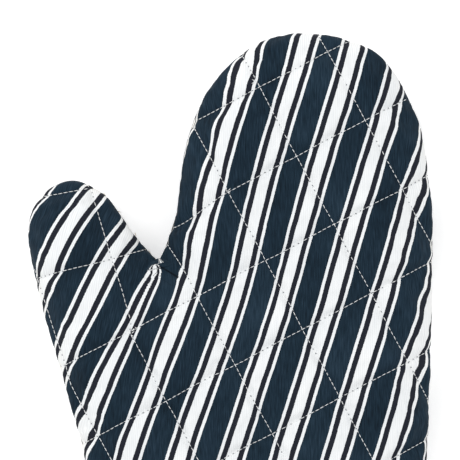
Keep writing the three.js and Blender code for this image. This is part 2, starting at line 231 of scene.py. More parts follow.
def build_net():
    """The top half of the slab as a bmesh without its floor and its cuff end, relative to the crotch."""
    slab = bmesh.new()
    edge = [slab.verts.new((x, y, 0)) for x, y in outline]
    floor_face = slab.faces.new(edge)
    grown = bmesh.ops.extrude_face_region(slab, geom=[floor_face])
    top = [v for v in grown["geom"] if isinstance(v, bmesh.types.BMVert)]
    bmesh.ops.translate(slab, verts=top, vec=(0, 0, HALF))
    bmesh.ops.recalc_face_normals(slab, faces=slab.faces)
    solid = object_from_bmesh("slab", slab)
    remesh = solid.modifiers.new("even", "REMESH")
    remesh.mode = "VOXEL"
    remesh.voxel_size = NET
    mesh = mesh_from_modifiers(solid)
    bpy.data.objects.remove(solid)
    net = bmesh.new()
    net.from_mesh(mesh)
    everything = net.verts[:] + net.edges[:] + net.faces[:]
    bmesh.ops.bisect_plane(net, geom=everything, plane_co=(0, 0, SEAM_CUT),
                           plane_no=(0, 0, -1), clear_outer=True)
    everything = net.verts[:] + net.edges[:] + net.faces[:]
    bmesh.ops.bisect_plane(net, geom=everything, plane_co=(0, -CUFF_DEPTH + CUFF_TRIM, 0),
                           plane_no=(0, -1, 0), clear_outer=True)
    bmesh.ops.dissolve_degenerate(net, dist=TINY_EDGE, edges=net.edges)
    for reach in CROTCH_FINER:
        near = [e for e in net.edges if all(v.co.to_2d().length < reach for v in e.verts)]
        bmesh.ops.subdivide_edges(net, edges=near, cuts=1, use_grid_fill=True)
    bmesh.ops.triangulate(net, faces=[f for f in net.faces if len(f.verts) > 4])
    return net


net = build_net()
net.verts.ensure_lookup_table()
net_points = np.array([v.co for v in net.verts])
lowest = net_points[:, 2].min()
net_rise = np.clip((net_points[:, 2] - lowest) / (HALF - lowest), 0, 1)
net_distance, net_nearest, net_inwards = from_seam(net_points[:, :2])
net_seam = net_points[:, 2] < lowest + CLOSE
print("the net has", len(net.verts), "points")

# %% [markdown]
# The distance from the seam and the height on the wall are the two sides of a square. Dividing
# both by the length of their diagonal pushes the square out to a quarter circle, and the two
# radii, 26 mm across and 21 mm up, make that an ellipse.

# %% Lay the net at a depth
UNDER_BINDING = 15 * MM
BINDING_FADE = 15 * MM
TUCK = 1.3 * MM


def tuck(y):
    """Near the mouth every layer sinks a little, so that the binding lies flush."""
    above = y - (-CUFF_DEPTH + UNDER_BINDING)
    return TUCK * (1 - np.clip(above / BINDING_FADE, 0, 1))


def lay_net(depth, tucked=1.0):
    """The net's points on the padded form, at a depth under the outer surface, and how far out
    and up each lies on the rolled edge."""
    flat = net_points[:, :2]
    deep = depth + tuck(flat[:, 1]) * tucked
    across = 1 - net_distance / EDGE_ROUND
    rolled = across > 0
    diagonal = np.maximum(np.hypot(np.maximum(across, 0), net_rise), 1e-6)
    out = np.where(rolled, np.maximum(across, 0) / diagonal, 0)
    up = np.where(rolled, net_rise / diagonal, 1)
    inset = deep + (EDGE_ROUND - deep) * (1 - out)
    place = np.where(rolled[:, None], net_nearest + net_inwards * inset[:, None], flat)
    height = RIM + (HALF - deep - RIM) * up
    return np.column_stack([place, height]), out, up


base, base_out, base_up = lay_net(0)
form_normals = np.column_stack([-net_inwards * base_out[:, None], base_up])
form_normals /= np.linalg.norm(form_normals, axis=1)[:, None]
print("the outer cloth rises to", round(base[:, 2].max() / MM, 1), "mm over the seam")

# %% [markdown]
# ## Quilting lines
#
# The cloth is bought ready quilted: it is stitched through in two families of parallel lines that
# cross nearly at right angles. The mitt is cut from it on the slant. At the thumb the cloth is
# pulled round, so the lines turn with it. The lines are worked out first, because the puffs of
# the padding, the stitches and the needle holes all follow them. A machine never sews quite
# straight, so each line wanders by half a millimetre.

# %% Lines that turn with the thumb
QUILT_ORIGIN = np.array([53.25, 1.85]) * MM
QUILT_UP = np.array([34.0, 17.75]) * MM
QUILT_DOWN = np.array([18.5, -34.25]) * MM
QUILT_PITCH = 38.5 * MM
THUMB_KNOT = np.array([-12.5, -32.5]) * MM
THUMB_UP = np.array([-0.287, 0.916])
THUMB_TURN = math.radians(19)
TURN_RISE = 35 * MM
TURN_FADE = 15 * MM
SAG = 4.3 * MM
SAG_AT = np.array([11, 22]) * MM
SAG_REACH = 11 * MM
THUMB_FROM = 4 * MM
THUMB_OVER = 6 * MM


def smooth(t):
    t = np.clip(t, 0, 1)
    return t * t * (3 - 2 * t)


def right_of_crotch(points):
    """How far right of the line between thumb and hand a point is."""
    x, y = points[:, 0], points[:, 1]
    return np.where(y < 0, 0.91 * x - 0.41 * y, x)


def turn_with_thumb(points, over, rise):
    """Moves ruled lines to where the cloth is pulled round to the thumb, and says which points
    belong to the mitt's own side of the crotch. Over and rise are lengths along the two families
    from the knot, the last crossing that stays in place."""
    slant = math.atan2(QUILT_UP[1], QUILT_UP[0])
    slant = slant - THUMB_TURN * (1 - np.exp(-np.maximum(rise, 0) / TURN_RISE))
    level = np.column_stack([np.cos(slant), np.sin(slant)])
    turned = THUMB_KNOT + rise[:, None] * THUMB_UP + over[:, None] * level
    sag = SAG * np.exp(-((points - SAG_AT) ** 2).sum(1) / (2 * SAG_REACH ** 2))
    hanging = points - sag[:, None] * np.array([0, 1])
    left = 1 - smooth((right_of_crotch(points) + THUMB_FROM) / THUMB_OVER)
    share = smooth((rise + TURN_FADE) / TURN_FADE) * left
    line = hanging + (turned - hanging) * share[:, None]
    right = right_of_crotch(line)
    # Beside the crotch a line of the thumb stops at the hand, and one of the hand at the thumb.
    astray = np.where(share > 0.5, (right > -0.5 * MM) & (line[:, 1] > -8 * MM),
                      (right < 0.5 * MM) & (line[:, 1] > 0))
    return line, ~astray


print("the quilting crosses every", QUILT_PITCH / MM, "mm")

# %% [markdown]
# Each line of the two families is traced in short steps, turned with the thumb where it has to
# be, and cut where it leaves the mitt. The back is cut from the same cloth a little further on,
# so its lines are shifted.

# %% Trace the quilting lines
TRACE_STEP = 0.8 * MM
WANDER = 0.5 * MM
SHORTEST_RUN = 6


def quilting_lines(shift):
    """Every run of quilting inside the outline, as lists of flat points."""
    runs = []
    steps = np.arange(-8, 8, TRACE_STEP / QUILT_PITCH)
    for family in (0, 1):
        for number in range(-8, 9):
            wave = np.array([noise.noise((s * 1.7, number * 3.1, family * 7.7)) for s in steps])
            ruled = number + wave * WANDER / QUILT_PITCH + shift
            a, b = (steps, ruled) if family == 0 else (ruled, steps)
            straight = QUILT_ORIGIN + a[:, None] * QUILT_UP + b[:, None] * QUILT_DOWN
            line, belongs = turn_with_thumb(straight, (a + 2) * QUILT_PITCH, -b * QUILT_PITCH)
            kept = belongs & inside_outline(line) & (line[:, 1] > -CUFF_DEPTH + 2 * MM)
            cuts = np.flatnonzero(np.diff(kept.astype(int))) + 1
            for run, is_in in zip(np.split(line, cuts), np.split(kept, cuts)):
                if is_in[0] and len(run) > SHORTEST_RUN:
                    runs.append(run)
    return runs


BACK_SHIFT = 0.37
palm_quilting = quilting_lines(0)
back_quilting = quilting_lines(BACK_SHIFT)
print("quilting runs on the palm and the back:", len(palm_quilting), len(back_quilting))

# %% [markdown]
# ## The cloth's own coordinates
#
# The stripes are woven in, so they follow the cloth and not the table. Each point of the net gets
# two numbers: how far across the stripes it is and how far along them. On the hand they are a
# plain turn of the flat drawing. On the thumb the cloth bends, so there the stripes are arcs
# round one far centre. Between thumb and fingers some cloth was taken up in the seam, so the two
# drawings jump by a step at the crotch, which fades out below it. Where the cloth rolls over the
# edge it is longer than it looks from above, and that length is added outwards.

# %% Cloth that rolls over the edge
ROLL_SHOWS = 3.6 * MM
CROTCH_REACH = 14 * MM

angles = np.linspace(0, math.pi / 2, 60)
bits = np.hypot(EDGE_ROUND * np.cos(angles), HALF * np.sin(angles))
rolled_length = np.concatenate([[0], np.cumsum((bits[1:] + bits[:-1]) / 2 * np.diff(angles))])


def unrolled(flat, inwards, out, up):
    """The flat points, let out by the length that is rolled over the edge."""
    extra = np.interp(np.arctan2(out, up), angles, rolled_length) - EDGE_ROUND * out
    extra = np.maximum(extra - ROLL_SHOWS, 0) * (out > 0)
    extra *= smooth(np.linalg.norm(flat, axis=1) / CROTCH_REACH)
    return flat - inwards * extra[:, None]


let_out = unrolled(base[:, :2], net_inwards, base_out, base_up)
print("the edge hides", round(float(np.abs(let_out - base[:, :2]).max()) / MM, 1), "mm of cloth")

# %% [markdown]
# The two drawings of the stripes, the hand's and the thumb's, are mixed by a share that goes from
# 0 on the thumb to 1 on the hand. Above the crotch the two never meet. Just below it the share
# jumps by a half, which is the cloth taken up in the seam, and the rest eases in over a width that
# grows towards the wrist. Right at the crotch the cloth is gathered, so the stripes run straight
# into that point.

# %% Stripe coordinates
STRIPE_SLANT = math.radians(16.7)
STRIPE_REPEAT = 24.6 * MM
FIRST_STRIPE = 13.2 * MM
ARC_CENTRE = np.array([114.0, -78.4]) * MM
ARC_RADIUS = 125.56 * MM
ARC_START = math.radians(24.6)
PULL = 4.3 * MM
PULL_AT = np.array([19.6, -14.4]) * MM
PULL_REACH = 30 * MM
SLACK = 0.45 * MM
SLACK_WIDE = 22 * MM
SLACK_LONG = 30 * MM
GATHER = 4.5 * MM
ALONG_RADIUS = 170 * MM
ALONG_SHIFT = 30 * MM
EASE_AT_CROTCH = 3 * MM
EASE_PALM = 13 * MM
PALM_OVER = 12 * MM
EASE_WRIST = 40 * MM
WRIST_FROM = 30 * MM
WRIST_OVER = 60 * MM


def cloth_coordinates(flat, let_out):
    """Across and along the stripes, for each flat point and its let-out place."""
    radius = np.maximum(np.linalg.norm(flat, axis=1), 1e-6)[:, None]
    pushed = flat * np.maximum(GATHER / radius, 1)
    let_out = let_out + pushed - flat
    flat = pushed
    x, y = let_out.T
    hand_across = x * math.cos(STRIPE_SLANT) - y * math.sin(STRIPE_SLANT)
    hand_along = x * math.sin(STRIPE_SLANT) + y * math.cos(STRIPE_SLANT)
    dx, dy = ARC_CENTRE[0] - x, y - ARC_CENTRE[1]
    turn = np.arctan2(dy, dx)
    straight = dx * math.cos(ARC_START) + dy * math.sin(ARC_START)
    reach = np.where(turn > ARC_START, np.hypot(dx, dy), straight)
    thumb_across = ARC_RADIUS - reach
    thumb_along = np.where(turn > ARC_START, ALONG_RADIUS * (turn - ARC_START),
                           dy * math.cos(ARC_START) - dx * math.sin(ARC_START)) - ALONG_SHIFT
    right = right_of_crotch(flat)
    below = -flat[:, 1]
    spread = EASE_AT_CROTCH + EASE_PALM * smooth(below / PALM_OVER)
    spread += EASE_WRIST * smooth((below - WRIST_FROM) / WRIST_OVER)
    easing = smooth(right / spread)
    share = np.where(below < 0, (right > 0) * 1.0, 0.5 * smooth(right / MM + 0.5) + 0.5 * easing)
    across = thumb_across + (hand_across - thumb_across) * share
    along = thumb_along + (hand_along - thumb_along) * np.where(below < 0, right > 0, easing)
    near = np.exp(-((flat - PULL_AT) ** 2).sum(1) / (2 * PULL_REACH ** 2))
    wave = np.array([noise.noise((px / SLACK_WIDE, py / SLACK_LONG, 1.5)) for px, py in flat])
    return np.column_stack([across - PULL * near + SLACK * wave, along])


stripes_over = np.ptp(cloth_coordinates(base[:, :2], let_out)[:, 0]) / STRIPE_REPEAT
print("stripe repeats over the whole mitt:", round(float(stripes_over), 1))

# %% [markdown]
# ## Puffs between the stitches
#
# Each line of stitches holds the outer cloth down on the padding, and the cloth stands up between
# the lines. The dip is sharp at the thread and fades within a few millimetres. It is shallower
# on the sides, where the cloth is stretched over the edge. The seam pulls the cloth in the same
# way, and so does the small fold that runs from the crotch into the palm.

# %% How far the cloth is held down
DIP = 2.1 * MM
DIP_FADE = 3.2 * MM
DIP_ROUND = 0.5 * MM
SEAM_DIP = 1.7 * MM
SEAM_FADE = 2.2 * MM
BULGE = 1.2 * MM
BULGE_AT = 7 * MM
BULGE_WIDE = 5 * MM
EDGE_DIP = 0.35
EDGE_ENDS = 0.8 * HALF
BOTH_DIPS = 0.3
CREASE = np.array([(0.6, -1.2), (9.8, -6.6)]) * MM
CREASE_LEAD = 0.5 * MM
CREASE_FAR = 5 * MM


def tree_of(runs):
    points = np.vstack(runs)
    tree = KDTree(len(points))
    for i, (x, y) in enumerate(points):
        tree.insert((x, y, 0), i)
    tree.balance()
    return tree


def distance_to(tree, flat):
    return np.array([tree.find((x, y, 0))[2] for x, y in flat])


def less_on_sides(height):
    """The share of its depth that a dip keeps, at a height over the seam."""
    return EDGE_DIP + (1 - EDGE_DIP) * smooth(height / EDGE_ENDS)


def held_down(flat, height, quilting):
    """How far under the full form the cloth lies."""
    gap = distance_to(quilting, flat)
    dip = DIP * np.exp(-(np.hypot(gap, DIP_ROUND) - DIP_ROUND) / DIP_FADE) * less_on_sides(height)
    seam = SEAM_DIP * np.exp(-np.maximum(height - RIM, 0) / SEAM_FADE)
    bulge = BULGE * np.exp(-((height - BULGE_AT) / BULGE_WIDE) ** 2)
    return np.maximum(dip, seam) + BOTH_DIPS * np.minimum(dip, seam) - bulge


def from_crease(flat):
    """Signed distance from the crease's straight line, or far where the crease has ended."""
    along = CREASE[1] - CREASE[0]
    length = np.linalg.norm(along)
    along = along / length
    arm = flat - CREASE[0]
    beside = arm[:, 0] * -along[1] + arm[:, 1] * along[0]
    station = arm @ along
    ended = (station < -CREASE_LEAD) | (station > length)
    return np.where(ended | (np.abs(beside) > CREASE_FAR), CREASE_FAR, beside)


palm_tree = tree_of(palm_quilting)
back_tree = tree_of(back_quilting)
print("a stitched line dips by", round(DIP / MM, 1), "mm")

# %% [markdown]
# ## Swelling the cloth by simulation
#
# A formula alone looks too regular. So the cloth is swollen by Blender's cloth simulation: a soft
# pressure from inside, gravity off, and the stitched lines, the seam and the mouth pinned. The
# cloth is let out by a few percent, so it wrinkles towards its pins as real padded cloth does.
# How far a point may move is capped, and the result is put in the mesh, so that the finished
# piece holds no simulation.

# %% A mesh from the net
def net_object(name, points, layers=None):
    """A copy of the net with its points at the given places. Each layer is a UV map to carry."""
    bm = net.copy()
    bm.verts.ensure_lookup_table()
    for vert, place in zip(bm.verts, points):
        vert.co = place
    for key, values in (layers or {}).items():
        layer = bm.loops.layers.uv.new(key)
        for face in bm.faces:
            for loop in face.loops:
                loop[layer].uv = values[loop.vert.index]
    for face in bm.faces:
        face.smooth = True
    return object_from_bmesh(name, bm)


def get_points(mesh):
    found = np.zeros(len(mesh.vertices) * 3)
    mesh.vertices.foreach_get("co", found)
    return found.reshape(-1, 3)


def set_points(mesh, points):
    mesh.vertices.foreach_set("co", points.ravel())
    mesh.update()


def normals_of(mesh):
    mesh.update()
    found = np.zeros(len(mesh.vertices) * 3)
    mesh.vertices.foreach_get("normal", found)
    return found.reshape(-1, 3)


print("the net has", len(net.faces), "faces a side")

# %% [markdown]
# The pressure and the stiffness are small, because wadding pushes softly and cotton twill hardly
# stretches. What matters is the ratio between them, so they were found by trying.

# %% Swell one panel
PRESSURE = 3.5
FRAMES = 20
MOST_SWELL = 2.6 * MM
LET_OUT = -0.035


def swell(obj, pins):
    """Runs the cloth simulation, caps the movement and writes the result into the mesh."""
    start = get_points(obj.data)
    group = obj.vertex_groups.new(name="sewn")
    for i, weight in enumerate(pins):
        group.add([i], float(weight), "REPLACE")
    cloth = obj.modifiers.new("cloth", "CLOTH")
    settings = cloth.settings
    settings.quality = 4
    settings.mass = 0.2
    settings.tension_stiffness = 20
    settings.compression_stiffness = 20
    settings.shear_stiffness = 8
    settings.bending_stiffness = 0.3
    settings.use_pressure = True
    settings.uniform_pressure_force = PRESSURE
    settings.shrink_min = LET_OUT
    settings.vertex_group_mass = "sewn"
    settings.effector_weights.gravity = 0
    cloth.collision_settings.use_collision = False
    cloth.point_cache.frame_start = 1
    cloth.point_cache.frame_end = FRAMES
    for step in range(1, FRAMES + 1):
        bpy.context.scene.frame_set(step)
    mesh = mesh_from_modifiers(obj)
    move = get_points(mesh) - start
    bpy.data.meshes.remove(mesh)
    obj.modifiers.clear()
    obj.vertex_groups.clear()
    bpy.context.scene.frame_set(1)
    length = np.maximum(np.linalg.norm(move, axis=1), 1e-9)
    cap = MOST_SWELL * np.tanh(length / MOST_SWELL) / length
    moved = start + move * cap[:, None]
    moved[pins > 0.99] = start[pins > 0.99]
    set_points(obj.data, moved)
    return float(length.max())


print("each panel is swollen over", FRAMES, "steps")

# %% [markdown]
# The pins are weights from 0 to 1, so the cloth is held fully at a thread and lets go softly
# beside it. The net carries its flat place and its let-out place in two UV maps, and once it is
# fine enough the stripe coordinates are worked out from them.

# %% Make the two panels
PIN_NEAR = 1.4 * MM
PIN_FADE = 2.5 * MM
PIN_SEAM = 2 * MM
PIN_SEAM_FADE = 4 * MM
PIN_MOUTH_FADE = 4 * MM


def pins_for(flat, height, tree):
    gap = distance_to(tree, flat)
    line = 1 - smooth((gap - PIN_NEAR) / PIN_FADE)
    seam = 1 - smooth((height - PIN_SEAM) / PIN_SEAM_FADE)
    mouth = 1 - smooth((flat[:, 1] + CUFF_DEPTH - UNDER_BINDING) / PIN_MOUTH_FADE)
    return np.maximum.reduce([line, seam, mouth])


def make_panel(name, tree):
    """The outer cloth of one side, over the seam plane and relative to the crotch."""
    panel = net_object(name, base, {"cloth": let_out, "flat": base[:, :2]})
    down = held_down(base[:, :2], base[:, 2], tree)
    points = base - form_normals * down[:, None]
    points[net_seam, 2] = RIM
    set_points(panel.data, points)
    went = swell(panel, pins_for(base[:, :2], base[:, 2], tree))
    print(name, "swells by up to", round(went / MM, 1), "mm before the cap")
    return panel


outer_palm = make_panel("outer_palm", palm_tree)
outer_back = make_panel("outer_back", back_tree)

# %% [markdown]
# ## Fine detail
#
# After the swelling one level of subdivision halves the net to about a millimetre. That is fine
# enough for the sharp dip right under a thread and for the crease at the crotch. The palm then
# moves up onto the seam, and the back is turned over in the seam plane and flattened where it
# rests on the table. Two attributes are written for the material: how near the seam a point is,
# and on which side of the crease, in millimetres.

# %% Subdivide and put in place
REST = 0.25 * MM


def subdivide_once(obj):
    """Puts the object's mesh, subdivided once, in place of the old one."""
    sub = obj.modifiers.new("fine", "SUBSURF")
    sub.levels = 1
    mesh = mesh_from_modifiers(obj)
    obj.modifiers.clear()
    old = obj.data
    obj.data = mesh
    bpy.data.meshes.remove(old)


def write_attribute(mesh, name, values):
    layer = mesh.attributes.new(name, "FLOAT", "POINT")
    layer.data.foreach_set("value", values.astype(np.float32))


def place_side(obj, side):
    """Moves a half into the mitt's frame: side 1 is the palm, and -1 is the back, turned over."""
    points = get_points(obj.data)
    points[:, 2] *= side
    points += (CROTCH.x, CROTCH.y, SEAM_Z)
    points[:, 2] = np.maximum(points[:, 2], REST)
    set_points(obj.data, points)
    if side < 0:
        obj.data.flip_normals()
    obj.data.update()


def draw_stripes(mesh):
    """Turns the flat places in the UV maps into stripe coordinates."""
    layers = []
    for key in ("flat", "cloth"):
        found = np.zeros(len(mesh.loops) * 2)
        mesh.uv_layers[key].data.foreach_get("uv", found)
        layers.append(found.reshape(-1, 2))
    mesh.uv_layers["cloth"].data.foreach_set("uv", cloth_coordinates(*layers).ravel())
    mesh.uv_layers.remove(mesh.uv_layers["flat"])


print("the cloth lies", REST / MM, "mm over the table")

# %% [markdown]
# The thread itself cuts a narrow groove, sharper than the padding's dip. It is added last, on the
# fine mesh, and it fades out at the crotch, where the cloth is gathered too tightly for it.

# %% Sharpen the dips under the threads
SHARP = 0.7 * MM
SHARP_FADE = 0.9 * MM
CREASE_DIP = 0.9 * MM
CREASE_WIDTH = 1.1 * MM
CROTCH_CALM = 4 * MM
NEAR_SEAM = 5 * MM


def refine(obj, tree, side):
    """The finished outer cloth from a swollen panel."""
    subdivide_once(obj)
    draw_stripes(obj.data)
    points = get_points(obj.data)
    gap = distance_to(tree, points[:, :2])
    sharp = SHARP * np.exp(-(gap / SHARP_FADE) ** 2) * less_on_sides(points[:, 2])
    fold_side = from_crease(points[:, :2]) if side > 0 else np.full(len(points), CREASE_FAR)
    in_crease = np.exp(-(fold_side / CREASE_WIDTH) ** 2)
    sharp = np.maximum(sharp, CREASE_DIP * in_crease)
    sharp *= smooth(np.linalg.norm(points[:, :2], axis=1) / CROTCH_CALM)
    points -= normals_of(obj.data) * sharp[:, None]
    set_points(obj.data, points)
    # Both attributes feed painted shade in the material: a creamier white next to the seam, and a dark line
    # in the crease.
    write_attribute(obj.data, "near_seam", np.exp(-np.maximum(points[:, 2], 0) / NEAR_SEAM))
    write_attribute(obj.data, "fold_side", fold_side / MM)
    obj.data.polygons.foreach_set("use_smooth", [True] * len(obj.data.polygons))
    place_side(obj, side)


batting_nets = [("batting_palm", outer_palm.data.copy(), 1),
                ("batting_back", outer_back.data.copy(), -1)]
refine(outer_palm, palm_tree, 1)
refine(outer_back, back_tree, -1)
for panel in (outer_palm, outer_back):
    print(panel.name, "has", len(panel.data.polygons), "faces")

# %% [markdown]
# ## Materials: a helper first
#
# A material is a small network of nodes. One function adds any node, gives it its settings,
# values and links, and returns an output, so each material below reads as a list of steps that
# ends at the shader. Colours are given as sRGB hex, the way a colour picker shows them, and are
# turned to linear by one function.

# %% Node and colour helpers
COTTON_IOR = 1.5
COLOUR_MIX = {"data_type": "RGBA", "clamp_result": True}
BLACK_MASK, WHITE_MASK = "#000000", "#FFFFFF"


def linear(hex_colour):
    parts = [int(hex_colour[i:i + 2], 16) / 255 for i in (1, 3, 5)]
    return (*[p / 12.92 if p <= 0.04045 else ((p + 0.055) / 1.055) ** 2.4 for p in parts], 1.0)


def new_material(name, roughness, sheen=0.0, gloss=0.2):
    """A cloth-like material: its name, and the plain values on its shader. Loose fibres scatter
    most of the shine away, so gloss is low on cloth."""
    material = bpy.data.materials.new(name)
    material.use_nodes = True
    inputs = material.node_tree.nodes["Principled BSDF"].inputs
    inputs["Roughness"].default_value = roughness
    inputs["IOR"].default_value = COTTON_IOR
    inputs["Specular IOR Level"].default_value = gloss
    inputs["Sheen Weight"].default_value = sheen
    inputs["Sheen Roughness"].default_value = 0.5
    return material


def add(material, kind, inputs, out=0, stops=(), **settings):
    """Adds a node and returns one of its outputs. Inputs are a list in order, or go by name or
    number, and each is a value or another node's output. Stops are a colour ramp's."""
    node = material.node_tree.nodes.new("ShaderNode" + kind)
    for key, value in settings.items():
        setattr(node, key, value)
    for key, value in (inputs if isinstance(inputs, dict) else dict(enumerate(inputs))).items():
        if isinstance(value, bpy.types.NodeSocket):
            material.node_tree.links.new(value, node.inputs[key])
        else:
            node.inputs[key].default_value = value
    for _ in stops[2:]:
        node.color_ramp.elements.new(0.5)
    for number, (place, colour) in enumerate(stops):
        node.color_ramp.elements[number].position = place
        node.color_ramp.elements[number].color = linear(colour)
    return node.outputs[out]


def wire(material, colour, normal):
    """Links a colour and a bump to the shader."""
    shader = material.node_tree.nodes["Principled BSDF"]
    material.node_tree.links.new(colour, shader.inputs["Base Color"])
    material.node_tree.links.new(normal, shader.inputs["Normal"])


print("navy in linear light:", [round(c, 3) for c in linear("#22313F")])

# %% [markdown]
# ## Striped cotton twill
#
# The outer cloth is a yarn-dyed cotton twill: navy ground, a wide white stripe with a thin dark
# line on each side, and a thin white line beyond that. Yarn-dyed stripes have crisp edges that
# waver only by a thread. The twill shows as a faint fine rib, and the navy has slightly paler
# threads in it. Real threads are 0.3 mm apart, too fine to show, so the rib is drawn at 1 mm.
# Cotton has hardly any shine, so the roughness is high. Next to the seam the white is painted creamier, a
# painted shade where the cloth turns away from the light, and the fold at the crotch is drawn as a thin
# dark line of painted shade in its dip.

# %% Stripe masks
WIDE_HALF = 2.7 * MM
DARK_ENDS = 5.3 * MM
THIN_ENDS = 6.8 * MM
WAVER = 0.36 * MM
WAVER_SCALE = 1400.0


def stripe_masks(m, over, uv):
    """Where the cloth is white and where it is dark. The pattern is mirrored about the middle of
    each wide white stripe, so the distance from that middle is all it takes."""
    waver = add(m, "TexNoise", {"Vector": uv, "Scale": WAVER_SCALE, "Detail": 1.0})
    waver = add(m, "Math", [waver, WAVER, -FIRST_STRIPE - WAVER / 2], operation="MULTIPLY_ADD")
    over = add(m, "Math", [over, waver], operation="ADD")
    place = add(m, "Math", [over, STRIPE_REPEAT / 2], operation="PINGPONG")
    share = add(m, "Math", [place, STRIPE_REPEAT / 2], operation="DIVIDE")
    wide, dark, thin = (2 * end / STRIPE_REPEAT for end in (WIDE_HALF, DARK_ENDS, THIN_ENDS))
    masks = []
    for stops in ([(0, WHITE_MASK), (wide, BLACK_MASK), (dark, WHITE_MASK), (thin, BLACK_MASK)],
                  [(0, BLACK_MASK), (wide, WHITE_MASK), (dark, BLACK_MASK)]):
        band = add(m, "ValToRGB", [share], stops=stops)
        band.node.color_ramp.interpolation = "CONSTANT"
        masks.append(band)
    return masks


print("the wide white stripe is", 2 * WIDE_HALF / MM, "mm wide")

# %% [markdown]
# The masks choose between the dyes. Under them lies a mottle of long thin streaks, which are the
# threads, and of soft clouds, which are uneven dye.

# %% Striped twill
NAVY, NAVY_PALE, NAVY_DEEP = "#1A2B38", "#293B4A", "#0E1A24"
DARK_LINE = "#23262F"
FOLD_SHADE = "#0A1118"
FOLD_LINE_WIDE = 0.7
WHITE, WHITE_SHADE, SEAM_SHADE_CREAM = "#F5F7F8", "#E6EAED", "#EFEAE0"
CLOUD_SCALE = 28.0
CLOUD_SHARE = 0.4
THREAD_SHARE = 0.6
THREAD_SLANT = 0.3
THREADS_ACROSS = 1.9 / MM
THREADS_ALONG = 0.14 / MM
TWILL_RIB = 1.0 * MM
RIB_SHADE = 0.045
RIB_GRAIN = 0.3
RIB_RELIEF = 0.12 * MM


def striped_twill():
    m = new_material("cotton_twill_striped", 0.9, sheen=0.02, gloss=0.1)
    uv = add(m, "UVMap", {}, uv_map="cloth")
    over = add(m, "SeparateXYZ", [uv])
    down = over.node.outputs["Y"]
    is_white, is_dark = stripe_masks(m, over, uv)

    # The threads: long thin streaks along the twill, over a soft mottle.
    cloud = add(m, "TexNoise", {"Vector": uv, "Scale": CLOUD_SCALE, "Detail": 3.0})
    slant = add(m, "Math", [down, THREAD_SLANT, over], operation="MULTIPLY_ADD")
    across = add(m, "Math", [slant, THREADS_ACROSS], operation="MULTIPLY")
    along = add(m, "Math", [down, THREADS_ALONG], operation="MULTIPLY")
    streaks = add(m, "CombineXYZ", [across, along, 0.0])
    thread = add(m, "TexNoise", {"Vector": streaks, "Scale": 1.0, "Detail": 2.0})
    cloud = add(m, "Math", [cloud, CLOUD_SHARE], operation="MULTIPLY")
    mottle = add(m, "Math", [thread, THREAD_SHARE, cloud], operation="MULTIPLY_ADD")

    # The dyes, then painted shade: cream on the white next to the seam, and a dark line in the crease at
    # the crotch.
    navy = add(m, "ValToRGB", [mottle], stops=[(0.32, NAVY_DEEP), (0.5, NAVY), (0.68, NAVY_PALE)])
    white = add(m, "ValToRGB", [mottle], stops=[(0.3, WHITE_SHADE), (0.6, WHITE)])
    # Painted shade: the white turns cream next to the seam, where the cloth rolls away from the light.
    seam = add(m, "Attribute", {}, out="Fac", attribute_name="near_seam")
    white = add(m, "Mix", {0: seam, 6: white, 7: linear(SEAM_SHADE_CREAM)}, 2, **COLOUR_MIX)
    ground = add(m, "Mix", {0: is_dark, 6: navy, 7: linear(DARK_LINE)}, 2, **COLOUR_MIX)
    cloth = add(m, "Mix", {0: is_white, 6: ground, 7: white}, 2, **COLOUR_MIX)
    # Painted shade: a thin dark line along the crease at the crotch, where the fold lies in shade.
    fold_side = add(m, "Attribute", {}, out="Fac", attribute_name="fold_side")
    beside = add(m, "Math", [fold_side], operation="ABSOLUTE")
    beside = add(m, "Math", [beside, FOLD_LINE_WIDE], operation="DIVIDE")
    crease = add(m, "ValToRGB", [beside],
                 stops=[(0, WHITE_MASK), (0.45, "#C8C8C8"), (1, BLACK_MASK)])
    cloth = add(m, "Mix", {0: crease, 6: cloth, 7: linear(FOLD_SHADE)}, 2, **COLOUR_MIX)

    # The rib, as relief and as a faint shade.
    rib = add(m, "Math", [slant, 2 * math.pi / TWILL_RIB], operation="MULTIPLY")
    rib = add(m, "Math", [rib], operation="SINE")
    grain = add(m, "Math", [rib, RIB_GRAIN, thread], operation="MULTIPLY_ADD")
    bump = add(m, "Bump", {"Strength": 0.35, "Distance": RIB_RELIEF, "Height": grain})
    ribbed = add(m, "Math", [rib, RIB_SHADE, 1 - RIB_SHADE], operation="MULTIPLY_ADD")
    shade = add(m, "CombineColor", [ribbed, ribbed, ribbed])
    cloth = add(m, "Mix", {0: 1.0, 6: cloth, 7: shade}, 2, blend_type="MULTIPLY", **COLOUR_MIX)
    wire(m, cloth, bump)
    return m


twill = striped_twill()
print("made", twill.name, "with", len(twill.node_tree.nodes), "nodes")

# %% [markdown]
# ## The other finishes
#
# The lining is unbleached cotton in plain weave, creamy, with small darker flecks of husk. The
# wadding is a loose felt of fibres. The binding and the loop are a navy cotton tape, ribbed along
# its length. Thread is a twisted cotton with a slight shine. The label is a satin ribbon, the
# glossiest of them. They differ in colour, weave and gloss, so one function with those values
# makes them all. Each pitch is the real spacing of threads, or as fine as still shows.

# %% Woven finishes
WEAVE_SHADE = 0.12
WEAVE_BUMP = 0.12 * MM
MOTTLE_SCALE = 60.0
FLECK_SCALE = 900.0


